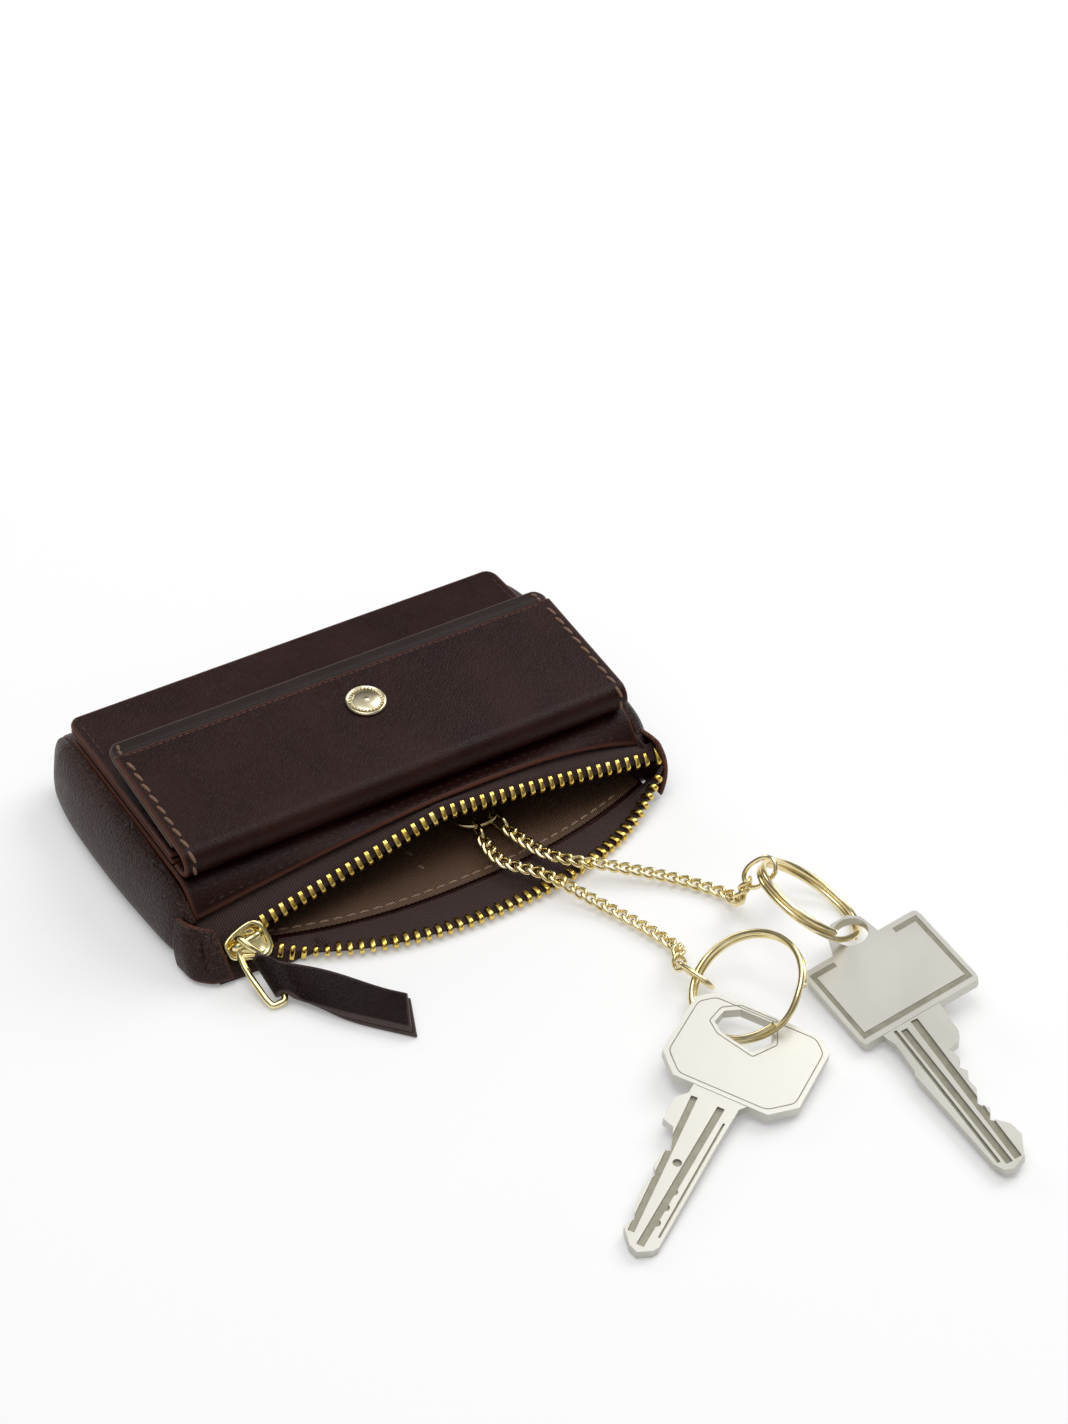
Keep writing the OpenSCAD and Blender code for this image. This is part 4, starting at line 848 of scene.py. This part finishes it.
putParts("keyOneLines", parts, grooveShadeNickel, "key_1", "key_nickel")
print("keys engraved")

# Slider: two plates with a round nose and a dished crown, and an arched bridge; x runs along the row.
# Top and low give each plate's rings as a share of the outline and a height.
slider = {"outline": [(-4.7, -1.7), (-4.7, 1.7), (-2.2, 2.8), (1, 3.3), (3.3, 3.3), (4.7, 1.9), (5.0, -0.6),
                      (4.6, -3.6), (2.9, -4.9), (0.4, -4.2), (-2.4, -3.0)],
          "top": [(0.02, 1.24), (0.95, 1.24), (1.03, 1.35), (1.05, 1.6), (1.04, 2.0), (1.0, 2.35), (0.94, 2.6),
                  (0.86, 2.6), (0.78, 2.35), (0.7, 2.0), (0.5, 1.92), (0.02, 1.9)],
          "low": [(0.02, -2.1), (0.85, -2.1), (0.97, -1.95), (1.02, -1.7), (1.02, -1.4), (0.98, -1.26),
                  (0.9, -1.24), (0.02, -1.24)], "wall": 0.42, "wallZ": 1.12, "wallY": -2.6, "wallIn": 0.93,
          "bridge": [(-3.7, 1.8), (-3.4, 3.2), (-2.7, 4.15), (-1.2, 4.4), (1.2, 4.4), (2.5, 4.1), (3.1, 3.2),
                     (3.5, 1.8)], "bar": 0.5, "barFlat": 1.5}
sliderMid = zipStart - zipSet["gap"] / 2 * zipUp
sliderFrame = np.stack([rowDir, zipUp, zipOut])
flat = roundLoop(slider["outline"], 72, 5)
parts = [tubeMesh(sliderMid + np.array([atHeight(flat * share, z) for share, z in slider[plate]]) @ sliderFrame)
         for plate in ("top", "low")]
wall = flat[flat[:, 1] < slider["wallY"]] * slider["wallIn"]
wall = wall[np.argsort(wall[:, 0])]
for side in (-1, 1):
    parts.append(tube(atHeight(wall, side * slider["wallZ"]), slider["wall"], 10, False, (0, 0, 1),
        turn=sliderFrame, place=sliderMid))
bridge = smoothLine(slider["bridge"], 50, 4)
parts.append(tube(np.stack([bridge[:, 0], 0 * bridge[:, 0], bridge[:, 1]], 1), slider["bar"], 12, False, (0, 1, 0),
    slider["barFlat"], sliderFrame, sliderMid))
putParts("sliderBody", parts, polishedSlider, "slider", "zip_brass", "slider_body")
print("slider made")

# Wire bail: its near bar hangs in the bridge, its far bar lies in the fold of the leather tab. A point of the
# loop gives its place along the slider, away from the bridge and over the bail.
pull = {"bar": 4.4, "rest": 21.8, "drop": 1.9, "wire": 1.45, "bailLen": 12, "tabLen": 30, "tabW": 9.4,
        "ply": 1.2, "slant": 4.6, "lift": 0.1, "aim": (0.66, -0.75, 0), "blend": 9, "spare": 0.8, "plyGap": 0.02,
        "turnRun": 25, "closeRun": 5, "fallRun": 14, "startRun": 3,
        "loop": [(0.4, 3.4, -0.6), (-0.9, 1.6, -1.5), (-1.6, -0.7, -1.4), (-1.8, -1.6, 0), (-2.1, -0.9, 1.4),
                 (-2.7, 0.8, 2.1), (-3.2, 3.4, 2.0), (-3.4, 6.5, 1.2), (-3.3, 11.6, 0.5), (-2.9, 13.2, 0.3),
                 (-0.4, 13.6, 0), (0.3, 12.6, 0), (0.5, 8, -0.1), (0.5, 5, -0.3)],
        "farBar": [(0.5, 3.2, -0.1), (0.5, 12.4, -0.1)]}
barMid = sliderMid + pull["bar"] * zipOut
rest = math.radians(pull["rest"])
bailDir = -math.cos(rest) * zipUp + math.sin(rest) * zipOut
bailSide = np.cross(rowDir, bailDir)


# Points of the bail's frame, let down a little more the further they are from the bridge.
def onBail(points):
    points = np.array(points, float)
    out = barMid + points @ np.stack([rowDir, bailDir, bailSide])
    out[:, 2] -= pull["drop"] * np.clip(points[:, 1] / pull["bailLen"], 0, 1.1)
    return out


bail = tube(onBail(roundLoop(pull["loop"], 150, 5)), pull["wire"] / 2, 16, True, rowDir + 0.3 * bailSide)
putParts("pullBail", [bail], polishedSlider, "bail", "zip_brass", "pull_bail")
tabDir = unit(pull["aim"])
tabSide = np.cross((0, 0, 1), tabDir)
foldEnds = onBail(pull["farBar"])
foldDir = unit(foldEnds[1] - foldEnds[0])
foldMid = foldEnds.mean(0)
foldR = pull["wire"] / 2 + pull["ply"] / 2 + 0.1
foldOver = unit(np.cross(tabDir, foldDir))
foldBack = np.cross(foldOver, foldDir)
foldBack = foldBack * -np.sign(foldBack @ tabDir)


# Leather tab as one strip: the upper ply, the fold round the bail's bar and the under ply. From the bar
# the strip turns on its way until it lies flat; its width's direction goes from the bar's to across the tab.
def tabStrip(u, v):
    p = pull
    upper, arc, half = p["tabLen"], math.pi * foldR, p["tabW"] / 2
    at = v * (2 * upper - p["spare"] + arc)
    s = np.clip(np.where(at < upper, upper - at, at - upper - arc), 0, upper)
    turn = np.clip((at - upper) / arc, 0, 1)
    t = easeIn(s / p["turnRun"])[..., None]
    wide = unit(foldDir * (1 - t) - tabSide * t)
    normal = unit(np.cross(np.broadcast_to(tabDir, wide.shape), wide))
    reach = foldR + (p["ply"] / 2 + p["plyGap"] - foldR) * easeIn(s / p["closeRun"])
    rested = half * abs(wide[..., 2]) + p["ply"] * abs(normal[..., 2]) + p["lift"]
    z = np.maximum(foldMid[2] * (1 - s / p["fallRun"]), rested)
    z = foldMid[2] + (z - foldMid[2]) * easeIn(s / p["startRun"])
    mid = np.stack([foldMid[0] + s * tabDir[0], foldMid[1] + s * tabDir[1], z], -1)
    across = (2 * u - 1)[..., None]
    slant = (p["slant"] / 2 * (s / p["tabLen"]) ** 3)[..., None] * tabDir
    sign = np.where(at < upper, 1.0, -1.0)[..., None]
    ply = mid + across * (half * wide + slant) + sign * reach[..., None] * normal
    a = (math.pi * turn)[..., None]
    roll = foldMid + across * half * foldDir + foldR * (np.cos(a) * foldOver + np.sin(a) * foldBack)
    return np.where(((turn > 0) & (turn < 1))[..., None], roll, ply)


pullTab = sheetSolid("pullTab", tabStrip, pull["tabW"], 2 * pull["tabLen"] + 4, pull["ply"], (26, 220), tabLeather,
    None, "leather_edge", "pull_tab", round=0.3)
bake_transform(pullTab)
print("pull made")

# Leather tabs over the tape ends, and the strap with the D ring
leftTabSet = {"bulge": 0.9, "crease": (0.5, 0.36, 0.05),
              "low": [(-50.6, -44.2, 1.5), (-54.6, -43.2, 0.8), (-57.6, -40.0, 0.7), (-58.2, -34.0, 0.7)],
              "high": [(-51.2, -37.4, 9.6), (-53.8, -36.4, 10.8), (-55.8, -34.2, 11.2), (-56.2, -31.0, 10.8)]}
rightTabSet = {"front": [(54.6, -41.4, 1.0), (57.9, -41.0, 7.5), (55.6, -37.4, 13.0)],
               "rear": [(53.4, -28.5, 0.7), (58.8, -30.5, 6.5), (54.4, -29, 12.4)], "bulge": 0.5}
tabThick = 1.1


# Left end tab: a strip with a crease, from the slider's end round the front corner to the gusset.
def leftTab(u, v):
    low, high = (readAt(v, np.linspace(0, 1, 60), smoothLine(leftTabSet[k], 60, 30)) for k in ("low", "high"))
    out = unit(np.cross(high - low, np.gradient((low + high) / 2, axis=1)))
    out = out * -np.sign(out[..., 1:2])
    deep, place, wide = leftTabSet["crease"]
    swell = leftTabSet["bulge"] - deep * np.exp(-((v - place) / wide) ** 2)
    return low + u[..., None] * (high - low) + (swell * np.sin(np.pi * u))[..., None] * out


# Right end tab: between two curves, one round the rows' ends and one on the gusset.
def rightTab(u, v):
    w = u[..., None]
    front, rear = (a * (1 - w) ** 2 + 2 * b * w * (1 - w) + c * w ** 2
                   for a, b, c in (np.array(rightTabSet[k], float) for k in ("front", "rear")))
    out = (rightTabSet["bulge"] * np.sin(np.pi * v))[..., None] * [0.8, -0.6, 0]
    return front + v[..., None] * (rear - front) + out


for name, surface, wide, long, count in (("Left", leftTab, 10, 13, (30, 40)), ("Right", rightTab, 14, 9, (24, 24))):
    sheetSolid("zipEndTab" + name, surface, wide, long, tabThick, count, gussetLeather, "case", "leather_edge",
        "zipper_end_tab_" + name.lower())
anchor = {"mid": (15, -27.5, 4.4), "r": 5.3, "wire": 1.2, "barY": 5.2, "strapW": 7, "strapT": 1,
          "bar": [(1, 0.5), (0.94, 0.9), (0.78, 1), (0.26, 1), (-0.26, 1), (-0.78, 1), (-0.94, 0.9), (-1, 0.5)]}
anchorMid = np.array(anchor["mid"], float)


# Lower half of a circle round the origin.
def halfRound(r, steps):
    a = np.radians(180 + 180 * np.arange(steps + 1) / steps)
    return np.stack([np.cos(a), np.sin(a)], 1) * r


ringPath = np.concatenate([halfRound(anchor["r"], 30), np.array(anchor["bar"]) * [anchor["r"], anchor["barY"]]])
ringPath = anchorMid + roundLoop(atHeight(ringPath, 0), 96, 2)
putParts("dRing", [tube(ringPath, anchor["wire"] / 2, 14, True, (0, 0, 1))], chainBrass, "anchor", "chain_brass",
    "anchor_ring")
strapTop = case["high"] - case["leather"] - case["lining"] - 0.2 - anchorMid[2]
strapR = anchor["wire"] / 2 + 0.25 + anchor["strapT"] / 2
strapLine = smoothLine(np.concatenate([[(-strapR, strapTop / 2)], halfRound(strapR, 16),
    [(strapR, strapTop - 0.5), (-strapR - 0.5, strapTop - 0.5)]]), 90, 3)


def strapSurface(u, v):
    y, z = np.moveaxis(readAt(v, np.linspace(0, 1, 90), strapLine), -1, 0)
    x = anchorMid[0] + (2 * u - 1) * anchor["strapW"] / 2
    return np.stack([x, anchorMid[1] + anchor["barY"] + y, anchorMid[2] + z], -1)


sheetSolid("keyLoopStrap", strapSurface, anchor["strapW"], 23, anchor["strapT"], (16, 80), strapCloth, "case",
    "tape", "key_loop_strap")

# Chains: links at even lengths along a spline, each twisted about its long axis. Shares place the route's
# points between the ring and the reach.
chainSet = {"reach": 60, "steps": 8, "pitch": 2.6, "wire": 0.85, "half": 0.69, "side": 0.445, "turn": 50,
            "first": 4.95, "rollLinks": 6, "rootLinks": 5, "middleLinks": 9, "jump": (3, 2, 0.75), "jumpFrom": 1.4,
            "endLink": (4.3, 2.5, 1.0), "ringWire": 1.3, "ringD": 25, "ringStep": 40, "ringSpare": 4}
chains = {
    1: {"shares": [(-0.035, -0.084, 0), (-0.052, -0.28, 0), (0.042, -0.43, 0.003), (0.15, -0.615, -0.04),
                   (0.213, -0.77, -0.046), (0.25, -0.9, -0.042), (0.24, -0.96, -0.015)],
        "last": (26.92, -89.6, 4.51), "aim": (-0.489, -0.843, -0.225), "side": (0.868, -0.497, -0.024),
        "links": 24, "end": (27.66, -94.25, 4.36), "long": (-0.314, 0.943, 0.112),
        "short": (-0.482, -0.26, 0.837), "ring": (32.75, -104.9, 7.66), "tilt": 30.3, "turn": 175.4,
        "start": 112},
    2: {"shares": [(0.045, -0.078, 0), (0.08, -0.27, 0), (0.13, -0.39, 0.01), (0.3, -0.515, -0.02),
                   (0.46, -0.655, -0.046), (0.55, -0.79, -0.044), (0.55, -0.86, -0.018), (0.53, -0.905, 0.02)],
        "last": (47.78, -82.64, 10.29), "aim": (0.434, -0.087, 0.896), "side": (0.899, 0.07, -0.428),
        "links": 26, "end": (49.93, -84.11, 13.86), "long": (-0.493, 0.458, -0.739),
        "short": (0.095, 0.873, 0.478), "ring": (57.47, -91.51, 8.34), "tilt": 36.1, "turn": -6.8,
        "start": -72}}


# Catmull-Rom spline through the route's points, cut into even shares of each stretch.
def routeOf(c):
    last = np.array(c["last"])
    step = chainSet["pitch"] * unit(c["aim"])
    p = np.concatenate([anchorMid + chainSet["reach"] * np.array(c["shares"]), [last - step, last, last + step]])
    n, t = len(p), (np.arange(chainSet["steps"]) / chainSet["steps"])[:, None]
    rows = []
    for i in range(n - 1):
        q = (p[max(0, i - 1)], p[i], p[i + 1], p[min(n - 1, i + 2)])
        rows.append(0.5 * (2 * q[1] + (q[2] - q[0]) * t + (2 * q[0] - 5 * q[1] + 4 * q[2] - q[3]) * t * t
                           + (3 * q[1] - q[0] - 3 * q[2] + q[3]) * t ** 3))
    return np.concatenate(rows)


# Frames of the links: the side is carried along without turning and rolls over the last links.
def linkFrames(c):
    route = routeOf(c)
    sums = runOf(route)
    n = c["links"] - 1
    pitch = (sums[len(route) - chainSet["steps"]] - chainSet["first"]) / n
    at = chainSet["first"] + pitch * np.arange(n + 1)
    h = chainSet["pitch"] / 2
    ahead = unit(readAt(at + h, sums, route) - readAt(at - h, sums, route))
    side = [unit(np.cross((0, 0, 1), ahead[0]))]
    for d in ahead[1:]:
        side.append(unit(side[-1] - (side[-1] @ d) * d))
    want = np.array(c["side"])
    want = unit(want - (want @ ahead[-1]) * ahead[-1])
    roll = math.degrees(math.atan2(np.cross(side[-1], want) @ ahead[-1], side[-1] @ want))
    roll = roll - 180 if roll > 90 else roll + 180 if roll < -90 else roll
    turn = np.radians(roll) * easeIn((np.arange(n + 1) - n + chainSet["rollLinks"]) / chainSet["rollLinks"])
    side = np.array(side)
    side = np.cos(turn)[:, None] * side + np.sin(turn)[:, None] * np.cross(ahead, side)
    return readAt(at, sums, route), ahead, side, np.cross(ahead, side)


def curbLink(at, ahead, side, over):
    c = chainSet
    flat = superOval(c["half"] * c["pitch"], c["side"] * c["pitch"], 28, 2.3)
    f = np.radians(c["turn"]) * flat[:, 0] / (c["half"] * c["pitch"])
    out, up = (flat[:, 1:] * turned[:, None] for turned in (np.cos(f), np.sin(f)))
    return tube(at + flat[:, :1] * ahead + out * side + up * over, c["wire"] / 2, 10, True, over)


def ovalLoop(mid, ex, ey, half, side, wire):
    flat = superOval(half, side, 40, 2.3)
    return tube(mid + flat[:, :1] * ex + flat[:, 1:] * ey, wire / 2, 14, True, np.cross(ex, ey))


# Split ring: one wire wound twice; between the turns the height steps over a short arc.
def splitRing(c):
    wire, stepArc = chainSet["ringWire"], chainSet["ringStep"]
    first = stepArc / 2 + chainSet["ringSpare"]
    a = np.linspace(first, 720 - first, 260)
    r = (chainSet["ringD"] - wire) / 2
    z = (wire + 0.04) * (easeIn((a - 360 + stepArc / 2) / stepArc) - 0.5)
    turn = np.radians(a + c["start"])
    spin = Matrix.Rotation(math.radians(c["turn"]), 3, "Z") @ Matrix.Rotation(math.radians(c["tilt"]), 3, "Y")
    return tube(np.stack([r * np.cos(turn), r * np.sin(turn), z], 1), wire / 2, 14, False, (0, 0, 1),
        turn=np.array(spin).T, place=np.array(c["ring"]))


for k, c in chains.items():
    frames = linkFrames(c)
    links = [curbLink(*f) for f in zip(*frames)]
    start = anchorMid + chainSet["reach"] * np.array(c["shares"][0])
    ex = unit(frames[0][0] - start)
    ey = unit(np.cross((0, 0, 1), ex))
    jump = ovalLoop(start + chainSet["jumpFrom"] * ex, ex, np.cross(ex, ey), *chainSet["jump"])
    long, short = unit(c["long"]), np.array(c["short"])
    short = unit(short - (short @ long) * long)
    a, b = chainSet["rootLinks"], chainSet["rootLinks"] + chainSet["middleLinks"]
    for name, parts, nodeName in (
            (f"chain{k}Root", [jump] + links[:a], f"chain_{k}_root"),
            (f"chain{k}Middle", links[a:b], f"chain_{k}_middle"), (f"chain{k}End", links[b:], f"chain_{k}_end"),
            (f"endLink{k}", [ovalLoop(np.array(c["end"]), long, short, *chainSet["endLink"])], f"end_link_{k}"),
            (f"splitRing{k}", [splitRing(c)], f"split_ring_{k}")):
        putParts(name, parts, chainBrass, nodeName, "chain_brass", nodeName)
print("chains and rings made")

# Stitch lines of the mouth, of the panel's ends and of the back lining, with their places on the sheets
lipStitch = dict(fineStitch, thread=0.2, length=1.2)
hemStitch = {"pitch": 2.9, "length": 2.2, "thread": 0.5, "lift": 0.03}
lipRun, endRun = (0.03, 0.97, 200), (0.12, 0.86, 120)
for name, surface, us, vs, sheet, look, thread, slotName in (
        ("lipStitches", upper, lipRun, 1.3 / upperLength, "leather", lipStitch, darkThread, "tape"),
        ("lipStitchesBack", upper, lipRun, 3.4 / upperLength, "leather", lipStitch, darkThread, "tape"),
        ("panelStitchesLeft", upper, 0.018, endRun, "leather", fineStitch, darkThread, "tape"),
        ("panelStitchesRight", upper, 0.982, endRun, "leather", fineStitch, darkThread, "tape"),
        ("liningHemStitches", inside, (0.04, 0.96, 160), 1.5 / insideLength, "lining", hemStitch, taupeThread,
         "lining"),
        ("liningSeamStitches", inside, 0.48, (0.08, 0.8, 60), "lining",
         dict(hemStitch, pitch=5.0, length=1.8, skew=25), taupeThread, "lining")):
    stitchRow(name, seamOn(surface, us, vs, case[sheet] / 2), look, thread, "case", slotName)
print("seams made")

# Snap's cap: a low dome inside a ring of slanted beads and a round rim; radii and heights over the flap
snap = {"at": (1, 19.6), "over": 3.55, "ropeR": 3.4, "beads": 28, "bead": 0.44, "slim": 0.55, "slant": 0.9,
        "ropeZ": 0.7,
        "profile": [(0.02, 0), (4.3, 0), (4.42, 0.1), (4.45, 0.3), (4.35, 0.62), (4.15, 0.78), (3.95, 0.76),
                    (3.82, 0.6), (3.0, 0.58), (2.85, 0.66), (2.6, 0.74), (1.6, 0.84), (0.8, 0.88), (0.02, 0.9)]}


# Rings given in the flap's plane, with heights over it, as one closed part.
def snapPart(xy, high):
    return tubeMesh(fromFlap(xy[..., 0], xy[..., 1], snap["over"] + high)[:, ::-1])


def around(angle):
    return np.stack([np.cos(angle), np.sin(angle)], -1)


r, z = np.array(snap["profile"]).T[..., None]
parts = [snapPart(snap["at"] + r[..., None] * around(np.arange(72) * math.tau / 72), z + np.zeros(72))]
b, c = np.linspace(0, np.pi, 7)[1:-1, None], np.arange(8) * np.pi / 4
slim = snap["bead"] * snap["slim"] * np.sin(b)
for angle in np.arange(snap["beads"]) * math.tau / snap["beads"]:
    long = around(angle + snap["slant"])
    xy = snap["ropeR"] * around(angle) + snap["at"] + (snap["bead"] * np.cos(b) * np.ones(8))[..., None] * long
    xy = xy + (slim * np.cos(c))[..., None] * np.array([-long[1], long[0]])
    parts.append(snapPart(xy, snap["ropeZ"] + slim * np.sin(c)))
putParts("snapCap", parts, snapBrass, "flap", "snap_brass", "snap_cap")
print("snap cap made")

# Floor, world and lamps
floorSet = {"size": 6.0, "albedo": 0.78, "glow": 0.22, "near": 0.45, "far": 1.1}
white = (1, 1, 1, 1)


# Pale matt paper. The rays that show the background, from the camera, mirrors and glass, see it a little
# brighter, so the sheet runs out to white, and plain white from "far" on, past the lamps' light.
def addFloor(f):
    m, t = startMaterial("paleMattPaper")
    ray = addNode(t, "LightPath").outputs
    seen = addNode(t, "Math", {0: ray["Is Camera Ray"], 1: ray["Is Glossy Ray"]}, operation="MAXIMUM").outputs[0]
    seen = addNode(t, "Math", {0: seen, 1: ray["Is Transmission Ray"]}, operation="MAXIMUM").outputs[0]
    matt = addNode(t, "BsdfDiffuse", {"Color": (f["albedo"],) * 3 + (1,)})
    power = addNode(t, "Math", {0: seen, 1: f["glow"]}, operation="MULTIPLY")
    glow = addNode(t, "Emission", {"Color": white, "Strength": power.outputs[0]})
    both = addNode(t, "AddShader", {0: matt.outputs[0], 1: glow.outputs[0]})
    away = addNode(t, "VectorMath", {0: addNode(t, "TexCoord").outputs["Object"]}, operation="LENGTH")
    fade = addNode(t, "MapRange", {0: away.outputs["Value"], 1: f["near"], 2: f["far"]})
    share = addNode(t, "Math", {0: fade.outputs[0], 1: seen}, operation="MULTIPLY")
    far = addNode(t, "Emission", {"Color": white, "Strength": 1.0})
    finishMaterial(t, addNode(t, "MixShader", {0: share.outputs[0], 1: both.outputs[0],
        2: far.outputs[0]}).outputs[0])
    h = f["size"] / 2
    mesh = bpy.data.meshes.new("floor")
    mesh.from_pydata([(-h, -h, 0), (h, -h, 0), (h, h, 0), (-h, h, 0)], [], [(0, 1, 2, 3)])
    mesh.materials.append(m)
    addObject("floor", mesh)


# Sky by height: white at the horizon, dark halfway up, light overhead.
def addWorld():
    world = bpy.data.worlds.new("studio")
    world.use_nodes = True
    t = world.node_tree
    t.nodes.clear()
    up = addNode(t, "SeparateXYZ", {0: addNode(t, "TexCoord").outputs["Generated"]})
    sky = ramp(t, up.outputs["Z"], [(0.0, 1.0), (0.05, 0.45), (0.2, 0.2), (0.64, 0.14), (0.84, 0.7), (1.0, 0.9)])
    addNode(t, "OutputWorld", {"Surface": addNode(t, "Background", {"Color": sky, "Strength": 1.0}).outputs[0]})
    bpy.context.scene.world = world


addFloor(floorSet)
addWorld()
lamps = {"rightSoft": {"place": (0.95, 0.2, 0.9), "size": 0.9, "power": 7.5},
         "topSoft": {"place": (-0.15, -0.1, 1.3), "size": 0.8, "power": 4.5},
         "backStrip": {"place": (-0.1, 1.2, 0.62), "size": 0.5, "power": 2.2},
         "frontFill": {"place": (-0.9, -0.9, 0.7), "size": 0.9, "power": 0.8}}
lampAim = Vector((0, -0.03, 0))
for name, l in lamps.items():
    data = bpy.data.lights.new(name, "AREA")
    data.shape, data.size, data.energy = "SQUARE", l["size"], l["power"]
    lamp = addObject(name, data)
    lamp.location = l["place"]
    lamp.rotation_euler = (lampAim - Vector(l["place"])).to_track_quat("-Z", "Y").to_euler()
print("studio made")
